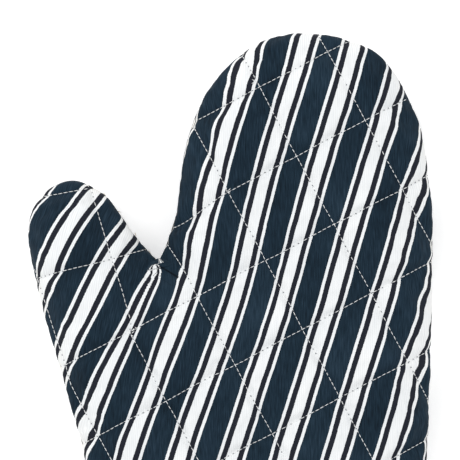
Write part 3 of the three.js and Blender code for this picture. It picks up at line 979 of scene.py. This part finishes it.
def woven(name, light, shade, pitch, roughness, sheen=0.0, flecks=None, relief=WEAVE_BUMP):
    """A plain weave on object coordinates: threads cross at the pitch, with a soft mottle."""
    m = new_material(name, roughness, sheen=sheen)
    place = add(m, "TexCoord", {}, out="Object")
    parts = add(m, "SeparateXYZ", [place]).node.outputs
    waves = []
    for part in (parts[0], parts[1]):
        wave = add(m, "Math", [part, parts[2]], operation="ADD")
        wave = add(m, "Math", [wave, 2 * math.pi / pitch], operation="MULTIPLY")
        waves.append(add(m, "Math", [wave], operation="SINE"))
    weave = add(m, "Math", waves, operation="MULTIPLY")
    cloud = add(m, "TexNoise", {"Vector": place, "Scale": MOTTLE_SCALE, "Detail": 5.0})
    tone = add(m, "Math", [weave, WEAVE_SHADE, cloud], operation="MULTIPLY_ADD")
    colour = add(m, "ValToRGB", [tone], stops=[(0.35, shade), (0.65, light)])
    if flecks:
        speck = add(m, "TexNoise", {"Vector": place, "Scale": FLECK_SCALE, "Detail": 1.0})
        speck = add(m, "ValToRGB", [speck], stops=[(0.68, BLACK_MASK), (0.74, WHITE_MASK)])
        colour = add(m, "Mix", {0: speck, 6: colour, 7: linear(flecks)}, 2, **COLOUR_MIX)
    bump = add(m, "Bump", {"Strength": 0.6, "Distance": relief, "Height": weave})
    wire(m, colour, bump)
    return m


natural_cotton = woven("cotton_plain_weave_natural", "#F0EBDF", "#DDD5C4", 1.1 * MM, 0.92, 0.05,
                       "#B9A98A")
wadding = woven("cotton_wadding", "#F4F2EC", "#E4E0D6", 4 * MM, 1.0, 0.3, relief=0.5 * MM)
tape = woven("cotton_tape_navy", "#263543", "#1A2631", 0.9 * MM, 0.82, 0.1)
quilt_thread = woven("cotton_thread_white", "#FCFDFD", "#ECEEEE", 0.7 * MM, 0.6, relief=0.05 * MM)
seam_thread = woven("cotton_thread_natural", "#E6DDCC", "#CBBFA9", 0.7 * MM, 0.65, relief=0.05 * MM)
satin = woven("satin_ribbon_white", "#FAF9F6", "#F0EEE8", 0.8 * MM, 0.4, relief=0.03 * MM)
# Painted shade: the dark grey stands in for the shade inside each needle hole.
needle_hole_shade = woven("needle_hole_painted_shade", "#59606B", "#3A414B", 0.5 * MM, 1.0)
print("made", len(bpy.data.materials), "materials")

# %% [markdown]
# ## Wadding and lining
#
# The wadding follows the swollen outer cloth, so it starts from the same net, drawn in along the
# cloth's normals, and Solidify gives it its thickness. It is trimmed out of the tight corner
# between thumb and fingers, as a sewer does, or the corner could not be turned.

# %% Wadding under each panel
WADDING_UNDER = 1.2 * MM
WADDING_THICK = 3.6 * MM
WADDING_TRIM = 10 * MM
WADDING_SEAM = RIM + 0.5 * MM
CLOTH_THICK = 0.8 * MM


def finished(obj, material, nodes, thick=None, offset=-1.0):
    """Gives a soft piece its material, its thickness and what it stands for."""
    obj.data.materials.clear()
    obj.data.materials.append(material)
    if thick:
        wall = obj.modifiers.new("thickness", "SOLIDIFY")
        wall.thickness = thick
        wall.offset = offset
        wall.use_even_offset = False
    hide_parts(*nodes)
    return obj


def trim_crotch(obj):
    bm = bmesh.new()
    bm.from_mesh(obj.data)
    corner = [v for v in bm.verts if v.co.to_2d().length < WADDING_TRIM]
    bmesh.ops.delete(bm, geom=corner, context="VERTS")
    bm.to_mesh(obj.data)
    bm.free()


def make_wadding(name, mesh, side):
    obj = add_object(name, mesh)
    mesh.name = name
    points = get_points(mesh) - normals_of(mesh) * WADDING_UNDER
    points[net_seam, 2] = WADDING_SEAM
    set_points(mesh, points)
    trim_crotch(obj)
    place_side(obj, side)
    which = name.removeprefix("batting_")
    nodes = [f"{which}_batting", f"thumb_{which}_batting"]
    return finished(obj, wadding, nodes, WADDING_THICK)


battings = [make_wadding(*each) for each in batting_nets]
finished(outer_palm, twill, ["palm_outer_cloth", "thumb_palm_outer_cloth"], CLOTH_THICK)
finished(outer_back, twill, ["back_outer_cloth", "thumb_back_outer_cloth"], CLOTH_THICK)
print("wadding is", WADDING_THICK / MM, "mm thick under", [b.name for b in battings])

# %% [markdown]
# The lining is the net laid deeper, held down towards the wadding along the same quilting lines,
# because the stitches go through all three layers. It is seen only in the mouth, so the net is
# fine enough as it is. Near the mouth it lies flat, where the binding presses it.

# %% Lining
LINING_DEPTH = 6.6 * MM
LINING_TUCKED = 0.1
LINING_THICK = 0.7 * MM
LINING_PUFF = 0.9 * MM
PUFF_FADE = 4 * MM
PUFF_FROM = 1 * MM
PUFF_FULL = 6 * MM


def make_lining(side, tree):
    which = "palm" if side > 0 else "back"
    points, _, _ = lay_net(LINING_DEPTH, LINING_TUCKED)
    obj = net_object(f"lining_{which}", points)
    gap = distance_to(tree, points[:, :2])
    puff = LINING_PUFF * (1 - np.exp(-gap / PUFF_FADE))
    puff *= smooth((points[:, 2] - PUFF_FROM) / PUFF_FULL)
    puff *= smooth((points[:, 1] + CUFF_DEPTH - UNDER_BINDING) / BINDING_FADE)
    set_points(obj.data, points - normals_of(obj.data) * puff[:, None])
    place_side(obj, side)
    nodes = [f"{which}_lining", f"thumb_{which}_lining"]
    return finished(obj, natural_cotton, nodes, LINING_THICK)


lining_palm = make_lining(1, palm_tree)
lining_back = make_lining(-1, back_tree)
print("lining made from", len(lining_palm.data.polygons), "faces a side")

# %% [markdown]
# ## Stitches
#
# A stitch is a short piece of thread that dives into the cloth at both ends, so from above it is
# a grain: longest in the middle and pointed at its ends. A small sphere stretched along the line
# is that shape with only a few faces, which matters because there are well over a thousand. Each
# line is dropped onto the finished cloth, walked at the stitch length, and given one grain per step.

# %% Walk along a line on the cloth
DROP_FROM = 60 * MM


def surface_of(obj):
    bm = bmesh.new()
    bm.from_mesh(obj.data)
    tree = BVHTree.FromBMesh(bm)
    bm.free()
    return tree


def dropped(run, surface, side):
    """A flat line laid on the cloth: its points and the cloth's normals there."""
    points, normals = [], []
    for x, y in run:
        start = Vector((x + CROTCH.x, y + CROTCH.y, SEAM_Z + side * DROP_FROM))
        hit, normal, _, _ = surface.ray_cast(start, Vector((0, 0, -side)))
        if hit is not None and (hit.z - SEAM_Z) * side > -0.5 * MM:
            points.append(hit)
            normals.append(normal)
    return points, normals


def walk(points, normals, pitch):
    """Evenly spaced places along a line: point, direction and normal."""
    lengths = np.cumsum([0] + [(b - a).length for a, b in zip(points, points[1:])])
    places, i = [], 0
    for station in np.arange(pitch / 2, lengths[-1], pitch):
        while i < len(lengths) - 2 and lengths[i + 1] < station:
            i += 1
        share = (station - lengths[i]) / max(lengths[i + 1] - lengths[i], 1e-9)
        direction = (points[i + 1] - points[i]).normalized()
        places.append((points[i].lerp(points[i + 1], share), direction, normals[i]))
    return places


print("the cloth for the stitches has", len(outer_palm.data.vertices), "points a side")

# %% [markdown]
# The grain is an icosphere at its coarsest, so a stitch costs only 20 triangles, and a matrix
# stretches it along the line. It lies half sunk, as thread under tension does.

# %% One stitch
STITCH = 2.7 * MM
THREAD_HALF = 0.22 * MM
LIES_ON = 0.54


def frame_at(place, direction, normal, length, width, height):
    """A matrix that stretches a unit sphere along the line and lays it on the cloth."""
    side = normal.cross(direction).normalized()
    up = direction.cross(side).normalized()
    turn = Matrix((direction, side, up)).transposed().to_4x4()
    return Matrix.Translation(place) @ turn @ Matrix.Diagonal((length, width, height, 1))


def add_grain(bm, place, direction, normal, length=STITCH, half=THREAD_HALF):
    centre = place + normal * half * LIES_ON
    shape = frame_at(centre, direction, normal, length / 2, half, half * 0.8)
    bmesh.ops.create_icosphere(bm, subdivisions=1, radius=1, matrix=shape)


def stitch_object(name, bm, material):
    for face in bm.faces:
        face.smooth = True
    obj = object_from_bmesh(name, bm)
    obj.data.materials.append(material)
    return obj


print("a stitch is", STITCH / MM, "mm long")

# %% [markdown]
# The needle leaves a small hole between two stitches, and the shade in it is painted as a tiny dark grain,
# which shows best on the white stripes.
# Where a thread ran out, the quilting was begun again over a few small stitches, so four small
# knots stand on each panel.

# %% Quilting
HOLE = 0.3 * MM
LEAN = 0.12
KNOTS = np.array([(34.5, 36.5), (-12.2, -32.0), (-13.5, -34.5), (47.5, 90.7)]) * MM
KNOT_STITCHES = 4
KNOT_TURN = 2.1
KNOT_REACH = 0.9 * MM
KNOT_LONG = 2.2 * MM
KNOT_HALF = 0.2 * MM


def quilt(name, panel, runs, side):
    """All the stitches of one panel, and painted shade in the needle holes between them."""
    surface = surface_of(panel)
    thread, holes = bmesh.new(), bmesh.new()
    count = 0
    for number, run in enumerate(runs):
        points, normals = dropped(run, surface, side)
        if len(points) < SHORTEST_RUN:
            continue
        for i, (place, direction, normal) in enumerate(walk(points, normals, STITCH)):
            lean = Matrix.Rotation(LEAN * noise.noise((i * 1.3, number * 2.1, 0.5)), 3, normal)
            add_grain(thread, place, lean @ direction, normal)
            count += 1
            # Painted shade: a small dark grain at the stitch's end, where the thread dives into the cloth.
            end = place + direction * STITCH / 2 + normal * THREAD_HALF
            shape = frame_at(end, direction, normal, HOLE, HOLE, HOLE / 2)
            bmesh.ops.create_icosphere(holes, subdivisions=1, radius=1, matrix=shape)
    for number, knot in enumerate(KNOTS):
        for place, normal in zip(*dropped([knot], surface, side)):
            for i in range(KNOT_STITCHES):
                turn = Matrix.Rotation(KNOT_TURN * i + number, 3, normal)
                off = turn @ normal.orthogonal().normalized()
                spot = place + off * KNOT_REACH
                add_grain(thread, spot, turn @ off, normal, KNOT_LONG, KNOT_HALF)
    print(name, "has", count, "stitches")
    return stitch_object(name, thread, quilt_thread), stitch_object(name + "_hole_shade", holes, needle_hole_shade)


quilt_palm, hole_shade_palm = quilt("quilting_palm", outer_palm, palm_quilting, 1)
quilt_back, hole_shade_back = quilt("quilting_back", outer_back, back_quilting, -1)

# %% [markdown]
# ## The side seam
#
# Palm and back are sewn together inside out, so on the finished mitt the seam is a fold with only
# short bits of natural thread showing in it, where the cloth is pulled open. They are the same
# grains as the quilting, laid along the outline in the crease, in the three runs of the seam. On
# the thumb's inner edge a few of them come nearer to the surface and peep out.

# %% Seam stitches
SEAM_STITCH = 3.2 * MM
SEAM_SUNK = 2.3 * MM
SEAM_PEEPS = np.array([(-28, 34.5), (-20, 25.5), (-12.5, 14.5), (-6, 6), (-1.5, 1.5)]) * MM
SEAM_START = 1.2 * MM
SEAM_HALF = 0.28 * MM
SEAM_TILT = 0.35
PEEP = 2.8 * MM
PEEP_WIDE = 2.2 * MM
BINDING_WIDTH = 13 * MM
fold_root = np.array([-29.365, -144.5]) * MM
root_on_line = int(np.argmin(np.linalg.norm(thumb_line - fold_root, axis=1)))


def densify(line, step=0.8 * MM):
    lengths = np.concatenate([[0], np.cumsum(np.linalg.norm(np.diff(line, axis=0), axis=1))])
    stations = np.arange(0, lengths[-1], step)
    return np.column_stack([np.interp(stations, lengths, line[:, k]) for k in (0, 1)])


def seam_run(name, line, turn, node):
    """Stitches in the crease between the two panels."""
    line = densify(line)
    line = line[line[:, 1] > -CUFF_DEPTH + BINDING_WIDTH]
    line = line[np.linalg.norm(line, axis=1) > SEAM_START]
    bm = bmesh.new()
    _, _, inwards = from_seam(line)
    gaps = np.linalg.norm(line[:, None] - SEAM_PEEPS[None], axis=2).min(1)
    sunk = SEAM_SUNK - PEEP * np.exp(-(gaps / PEEP_WIDE) ** 2)
    places = [Vector((*(p + n * d + CROTCH), SEAM_Z)) for p, n, d in zip(line, inwards, sunk)]
    normals = [Vector((-n[0], -n[1], 0)) for n in inwards]
    for i, (place, direction, normal) in enumerate(walk(places, normals, SEAM_STITCH)):
        tilt = Vector((0, 0, SEAM_TILT * noise.noise((i * 0.9, 2.5, turn))))
        add_grain(bm, place, (direction + tilt).normalized(), normal, SEAM_STITCH * 0.85, SEAM_HALF)
    obj = stitch_object(name, bm, seam_thread)
    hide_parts(node)
    return obj


seam_hand = seam_run("seam_hand", hand_line, 1, "hand_seam_thread")
seam_thumb = seam_run("seam_thumb", thumb_line[:root_on_line], 2, "thumb_seam_thread")
wrist_line = np.vstack([thumb_line[root_on_line:], (-CUFF_LEFT, -CUFF_DEPTH)])
seam_wrist = seam_run("seam_wrist", wrist_line, 3, "wrist_seam_thread")
print("seam runs:", [len(o.data.polygons) for o in (seam_hand, seam_thumb, seam_wrist)])

# %% [markdown]
# ## The binding round the mouth
#
# A tape is folded over the raw edges and stitched through all the layers. Its cross-section is a
# long narrow U. One closed ring of edges is laid round the mouth for the first point of the U,
# and each next point extrudes that ring, so the tape grows round the edge like a real one. The
# stitches draw the tape in, so both laps are slightly wavy.

# %% Rings round the mouth
RING_POINTS = 220
LAYERS_DEEP = 9.2 * MM
OFF_CLOTH = 0.25 * MM
FOLD_BACK = 1.2 * MM
LAP_POINTS = 9
FOLD_POINTS = 9


def mouth_ring(depth, y):
    """Points round the mouth, even along the ring, at a depth under the outer surface."""
    left, right = -CUFF_LEFT + depth, CUFF_RIGHT - depth
    turn = np.linspace(0, math.pi / 2, 60)
    round_x = (EDGE_ROUND - depth) * (1 - np.cos(turn))
    round_z = (HALF - depth) * np.sin(turn)
    x = np.concatenate([left + round_x, (right - round_x)[::-1]])
    z = np.concatenate([round_z, round_z[::-1]])
    x, z = np.concatenate([x, x[-2:0:-1]]), np.concatenate([z, -z[-2:0:-1]])
    closed = np.column_stack([np.append(x, x[0]), np.append(z, z[0])])
    lengths = np.concatenate([[0], np.cumsum(np.linalg.norm(np.diff(closed, axis=0), axis=1))])
    stations = np.linspace(0, lengths[-1], RING_POINTS, endpoint=False)
    x, z = [np.interp(stations, lengths, closed[:, k]) for k in (0, 1)]
    return np.column_stack([x + CROTCH.x, np.full(RING_POINTS, y + CROTCH.y), z + SEAM_Z])


def binding_section():
    """Depth and y of each ring, from the outer lap's edge round the fold to the inner lap's edge."""
    top = -CUFF_DEPTH + BINDING_WIDTH
    middle_depth = LAYERS_DEEP / 2
    fold_y = -CUFF_DEPTH + middle_depth - FOLD_BACK
    outer = [(OFF_CLOTH, y) for y in np.linspace(top, fold_y, LAP_POINTS)]
    turns = np.linspace(0, math.pi, FOLD_POINTS)[1:-1]
    fold_round = [(middle_depth * (1 - math.cos(a)) + OFF_CLOTH, fold_y - middle_depth * math.sin(a))
                  for a in turns]
    inner = [(LAYERS_DEEP + OFF_CLOTH, y) for y in np.linspace(fold_y, top, LAP_POINTS)]
    return [*outer, *fold_round, *inner]


section = binding_section()
print("the tape's section has", len(section), "points")

# %% [markdown]
# Now the rings are joined by extruding. The waves in the laps come from smooth noise round the
# ring, strongest at the lap's edge and nothing at the fold, and Solidify gives the tape its wall.

# %% Folded binding
TAPE_THICK = 0.9 * MM
PUCKER = 0.35 * MM


def pucker(ring, i, count):
    """Small waves in the laps, where the stitching draws the tape in."""
    lap = min(i, count - 1 - i)
    strength = PUCKER * max(0.0, 1 - lap / LAP_POINTS)
    for j, place in enumerate(ring):
        wave = noise.noise((j * 0.55, i * 0.15, 4.4)) + 0.5 * noise.noise((j * 0.19, i * 0.1, 9.1))
        place[1] += wave * strength * 1.5
        place[2] += wave * strength * np.sign(place[2] - SEAM_Z)
    return ring


def make_binding():
    bm = bmesh.new()
    rings = [pucker(mouth_ring(*spot), i, len(section)) for i, spot in enumerate(section)]
    verts = [bm.verts.new(place) for place in rings[0]]
    edges = [bm.edges.new((a, b)) for a, b in zip(verts, verts[1:] + verts[:1])]
    for ring in rings[1:]:
        grown = bmesh.ops.extrude_edge_only(bm, edges=edges)["geom"]
        edges = [e for e in grown if isinstance(e, bmesh.types.BMEdge)]
        fresh = [v for v in grown if isinstance(v, bmesh.types.BMVert)]
        for vert, place in zip(fresh, ring):
            vert.co = place
    bmesh.ops.recalc_face_normals(bm, faces=bm.faces)
    for face in bm.faces:
        face.smooth = True
    obj = object_from_bmesh("binding", bm)
    return finished(obj, tape, ["cuff_binding"], TAPE_THICK)


binding = make_binding()
print("the binding has", len(binding.data.polygons), "faces")

# %% [markdown]
# Two rows of stitches hold the tape: one is seen on its outer lap and one on its inner lap. Both
# follow a ring of the same family as the tape, a little in from the lap's edge.

# %% Topstitching on the tape
TOPSTITCH_IN = 2.2 * MM


def ring_places(depth, y, surface):
    """Places for stitches round the mouth, on the tape's own surface."""
    ring = [Vector(place) for place in mouth_ring(depth, y)]
    found = [surface.find_nearest(place) for place in ring + ring[:1]]
    return walk([hit[0] for hit in found], [hit[1] for hit in found], STITCH)


topstitching = bmesh.new()
tape_surface = surface_of(binding)
stitch_y = -CUFF_DEPTH + BINDING_WIDTH - TOPSTITCH_IN
for depth in (0, LAYERS_DEEP + 0.5 * MM):
    for place, direction, normal in ring_places(depth, stitch_y, tape_surface):
        add_grain(topstitching, place, direction, normal)
topstitch = stitch_object("binding_topstitch", topstitching, quilt_thread)
print("topstitching has", len(topstitch.data.polygons), "faces")

# %% [markdown]
# ## The hanging loop
#
# The loop is a length of the same tape. Its two ends lie on each other in the seam, and between
# them it opens into an eye. Its middle line is drawn first, level, from two Bezier curves and
# their mirror, and then let down about its root until it lies on the table.

# %% The loop's line
LOOP_WIDE = 9 * MM
LOOP_LONG = 44 * MM
LOOP_STUB = 9 * MM
LOOP_OPEN = 7.5 * MM
LOOP_TAPE = 1.2 * MM
LOOP_CLEAR = 0.3 * MM
LOOP_SEWN_IN = 1.2 * MM
LOOP_STEPS = 64


def bezier(a, b, c, d, steps=24):
    t = np.linspace(0, 1, steps, endpoint=False)[:, None]
    a, b, c, d = (np.array(p) for p in (a, b, c, d))
    return (1 - t) ** 3 * a + 3 * (1 - t) ** 2 * t * b + 3 * (1 - t) * t ** 2 * c + t ** 3 * d


def loop_line():
    """The tape's middle line, level: out along the top, round the eye and back underneath."""
    near, tip, half = LOOP_TAPE * 0.53, LOOP_LONG - LOOP_TAPE / 2, LOOP_OPEN - LOOP_TAPE / 2
    long = tip - LOOP_STUB
    widest = LOOP_STUB + long * 0.62
    stub = np.column_stack([np.linspace(-LOOP_SEWN_IN, LOOP_STUB, 8, endpoint=False), np.full(8, near)])
    swell_out = bezier((LOOP_STUB, near), (LOOP_STUB + long * 0.3, near),
                       (LOOP_STUB + long * 0.35, half), (widest, half))
    close_in = bezier((widest, half), (LOOP_STUB + long * 0.86, half), (tip, half * 0.6), (tip, 0))
    top = np.vstack([stub, swell_out, close_in])
    bottom = (top * (1, -1))[::-1]
    line = np.vstack([top, [(tip, 0)], bottom])
    lengths = np.concatenate([[0], np.cumsum(np.linalg.norm(np.diff(line, axis=0), axis=1))])
    stations = np.linspace(0, lengths[-1], LOOP_STEPS)
    return np.column_stack([np.interp(stations, lengths, line[:, k]) for k in (0, 1)])


def let_down(line):
    """Turns the loop down about its root until its lowest point clears the table."""
    angle = 0.0
    floor_gap = SEAM_Z - LOOP_CLEAR - LOOP_TAPE / 2
    while (line[:, 0] * math.sin(angle) - line[:, 1] * math.cos(angle)).max() < floor_gap:
        angle += 0.002
    x, z = line.T
    return np.column_stack([x * math.cos(angle) + z * math.sin(angle),
                            z * math.cos(angle) - x * math.sin(angle)]), angle


loop_path, droop = let_down(loop_line())
print("the loop hangs down by", round(math.degrees(droop)), "degrees")

# %% [markdown]
# A short edge across the tape's width is then extruded along that line, step by step. The tape
# sways a little, and its two edges curl in, as woven tape does.

# %% Bent tape
ACROSS_TAPE = np.linspace(-0.5, 0.5, 7)
LOOP_ROOT = Vector(swing["pos_m"])
LOOP_SWAY = 0.35 * MM
EDGE_CURL = 0.25 * MM
LOOP_ROWS = (-0.36, 0.36)
LOOP_THREAD_HALF = 0.2 * MM


def on_loop(i, across, lift=0.0):
    """A point on the tape: station along it, place across it, height over its outer face."""
    here = min(i, LOOP_STEPS - 2)
    step = loop_path[here + 1] - loop_path[here]
    along = Vector((step[0], 0, step[1])).normalized()
    outward = along.cross(Vector((0, -1, 0)))
    sway = LOOP_SWAY * noise.noise((i * 0.13, 3.3, 0.2))
    place = LOOP_ROOT + Vector((loop_path[i][0], across * LOOP_WIDE + sway, loop_path[i][1]))
    curl = EDGE_CURL * (2 * across) ** 4
    return place + outward * (lift - curl), along, outward


def make_loop():
    bm = bmesh.new()
    verts = [bm.verts.new(on_loop(0, a)[0]) for a in ACROSS_TAPE]
    edges = [bm.edges.new(pair) for pair in zip(verts, verts[1:])]
    for i in range(1, LOOP_STEPS):
        grown = bmesh.ops.extrude_edge_only(bm, edges=edges)["geom"]
        fresh = [v for v in grown if isinstance(v, bmesh.types.BMVert)]
        edges = [e for e in grown if isinstance(e, bmesh.types.BMEdge) and all(v in fresh for v in e.verts)]
        for vert, a in zip(sorted(fresh, key=lambda v: v.co.y), ACROSS_TAPE):
            vert.co = on_loop(i, a)[0]
    bmesh.ops.recalc_face_normals(bm, faces=bm.faces)
    for face in bm.faces:
        face.smooth = True
    obj = object_from_bmesh("loop", bm)
    return finished(obj, tape, ["hanging_loop"], LOOP_TAPE, offset=0.0)


loop = make_loop()
loop_thread = bmesh.new()
for row in LOOP_ROWS:
    spots = [on_loop(i, row, LOOP_TAPE / 2) for i in range(2, LOOP_STEPS - 2)]
    for spot in walk([s[0] for s in spots], [s[2] for s in spots], STITCH):
        add_grain(loop_thread, *spot, half=LOOP_THREAD_HALF)
loop_stitches = stitch_object("loop_topstitch", loop_thread, quilt_thread)
print("the loop has", len(loop.data.polygons), "faces")

# %% [markdown]
# A bar tack is a dense zigzag sewn over the loop's doubled end, where all the pull comes. Short
# grains side by side, on both faces of the tape, make that small raised bar.

# %% Bar tack
TACK_THREADS = 17
TACK_LONG = 2.2 * MM
TACK_HALF = 0.3 * MM
TACK_LIFT = LOOP_TAPE / 2 + 0.05 * MM
TACK_LEAN = 0.3
TACK_SPAN = 0.44
TACK_STATION = 4


def make_tack():
    bm = bmesh.new()
    for i in (TACK_STATION, LOOP_STEPS - 1 - TACK_STATION):
        for k, across_tape in enumerate(np.linspace(-TACK_SPAN, TACK_SPAN, TACK_THREADS)):
            place, along, outward = on_loop(i, across_tape, TACK_LIFT)
            lean = Matrix.Rotation(TACK_LEAN if k % 2 else -TACK_LEAN, 3, outward)
            add_grain(bm, place, lean @ along, outward, TACK_LONG, TACK_HALF)
    obj = stitch_object("bar_tack", bm, quilt_thread)
    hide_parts("loop_bar_tack")
    return obj


bar_tack = make_tack()
print("the bar tack has", len(bar_tack.data.polygons), "faces")

# %% [markdown]
# ## The care label
#
# A short piece of satin ribbon, left blank, is sewn to the lining along one end. It lies on the
# lining and its free end stands up a little. A grid is dropped onto the lining point by point and
# then lifted over the lining's highest point under it, because ribbon bridges the hollows.

# %% Label on the lining
LABEL_LIFT = 0.45 * MM
LABEL_CURL = 2.2 * MM
LABEL_THICK = 0.35 * MM
LABEL_RIPPLE = 0.25 * MM
LABEL_CLEAR = 0.15 * MM
LABEL_SEWN_IN = 1.5 * MM


def make_label():
    low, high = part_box("care_label")
    centre, size = (low + high) / 2, high - low
    bm = bmesh.new()
    bmesh.ops.create_grid(bm, x_segments=14, y_segments=12, size=0.5)
    surface = surface_of(lining_back)
    highest = -1.0
    for vert in bm.verts:
        vert.co.x = centre.x + vert.co.x * size.x
        vert.co.y = centre.y + vert.co.y * size.y
        hit = surface.ray_cast(Vector((vert.co.x, vert.co.y, SEAM_Z)), Vector((0, 0, -1)))[0]
        highest = max(highest, hit.z)
        free = (high.y - vert.co.y) / size.y
        ripple = LABEL_RIPPLE * math.sin((vert.co.x - low.x) / size.x * 5.0)
        vert.co.z = hit.z + LABEL_LIFT + (LABEL_CURL * free + ripple) * free
    for vert in bm.verts:
        vert.co.z = max(vert.co.z, highest + LABEL_CLEAR)
    for face in bm.faces:
        face.smooth = True
    label = finished(object_from_bmesh("label", bm), satin, ["care_label"], LABEL_THICK, 1.0)
    thread = bmesh.new()
    over_label = highest + LABEL_LIFT + LABEL_THICK
    ends = [Vector((x, high.y - LABEL_SEWN_IN, over_label)) for x in (low.x, high.x)]
    for spot in walk(ends, [Vector((0, 0, 1))] * 2, STITCH):
        add_grain(thread, *spot)
    return label, stitch_object("label_stitches", thread, quilt_thread)


label, label_stitches = make_label()
print("the label is", [round(side / MM, 1) for side in label.dimensions], "mm")

# %% [markdown]
# ## Camera, light and floor
#
# The mitt lies on a plain white floor and is seen from straight above with a long lens, which
# hardly shows depth. The light is soft and comes from nearly everywhere, with one large lamp a
# little to the side so that the puffs still show.

# %% Stage
VIEW_CENTRE = Vector((-0.0202, 0.0621))
VIEW_WIDTH = 0.230
VIEW_LEVEL = 0.030
CAMERA_HEIGHT = 2.4
FLOOR_GLOW = 0.4
ROOM_LIGHT = 0.78


def make_stage():
    bm = bmesh.new()
    bmesh.ops.create_grid(bm, x_segments=1, y_segments=1, size=3.0)
    floor = object_from_bmesh("floor", bm)
    paint = new_material("matt_white_floor", 0.9)
    shader = paint.node_tree.nodes["Principled BSDF"]
    shader.inputs["Base Color"].default_value = linear("#F6F6F6")
    shader.inputs["Emission Color"].default_value = (1, 1, 1, 1)
    shader.inputs["Emission Strength"].default_value = FLOOR_GLOW
    floor.data.materials.append(paint)
    camera_data = bpy.data.cameras.new("camera")
    camera_data.lens = camera_data.sensor_width * (CAMERA_HEIGHT - VIEW_LEVEL) / VIEW_WIDTH
    camera_data.clip_end = 20
    camera = bpy.data.objects.new("camera", camera_data)
    camera.location = (*VIEW_CENTRE, CAMERA_HEIGHT)
    bpy.context.scene.collection.objects.link(camera)
    bpy.context.scene.camera = camera


def add_lamp(name, place, target, size, power):
    data = bpy.data.lights.new(name, "AREA")
    data.shape = "DISK"
    data.size = size
    data.energy = power
    lamp = bpy.data.objects.new(name, data)
    lamp.location = place
    lamp.rotation_euler = (Vector(target) - Vector(place)).to_track_quat("-Z", "Y").to_euler()
    bpy.context.scene.collection.objects.link(lamp)


make_stage()
add_lamp("key", (-0.9, 0.9, 1.5), (0, 0, 0), 1.2, 13)
add_lamp("fill", (1.2, -0.8, 1.4), (0, 0, 0), 1.6, 5)
world = bpy.data.worlds.new("soft_room")
world.use_nodes = True
background = world.node_tree.nodes["Background"]
background.inputs["Color"].default_value = (1, 1, 1, 1)
background.inputs["Strength"].default_value = ROOM_LIGHT
bpy.context.scene.world = world
bpy.context.scene.view_settings.view_transform = "Standard"
print("the camera sees", VIEW_WIDTH / MM, "mm across")

# %% [markdown]
# ## What moves with what
#
# The thumb folds over the palm. The pieces that cross that fold, and the thumb's seam, are only baked in
# place here and ride with no body. Everything at the cuff rides with the hand, and the loop's pieces with
# the loop.

# %% Ride, and bake the pieces that cross the fold
bending = [outer_palm, outer_back, *battings, lining_palm, lining_back, quilt_palm, quilt_back,
           hole_shade_palm, hole_shade_back, seam_thumb]
for piece in bending:
    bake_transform(piece)
for piece in (binding, topstitch, seam_hand, seam_wrist, label, label_stitches):
    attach(piece, "hand")
for piece in (loop, loop_stitches, bar_tack):
    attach(piece, "loop")
print("blended:", [p.name for p in bending])

# %% [markdown]
# ## Padding, how the cloth was cut, and mesh areas
#
# The quilted cloth and the wadding are padded: they give under a hand. The lining, the tape and the label
# are sheets, each with the size it was cut to. The lining's is the mitt's outline with the depth of its
# sides, the tape's is the girth of the mouth by two laps and a fold, and the label's is the usual one. Here
# only the areas of the tape's and the label's meshes are summed from their faces and printed.


def sheet_area(obj):
    return sum(face.area for face in obj.data.polygons)


print("tape mesh", round(sheet_area(binding), 4), "m2; label mesh", round(sheet_area(label), 6), "m2")
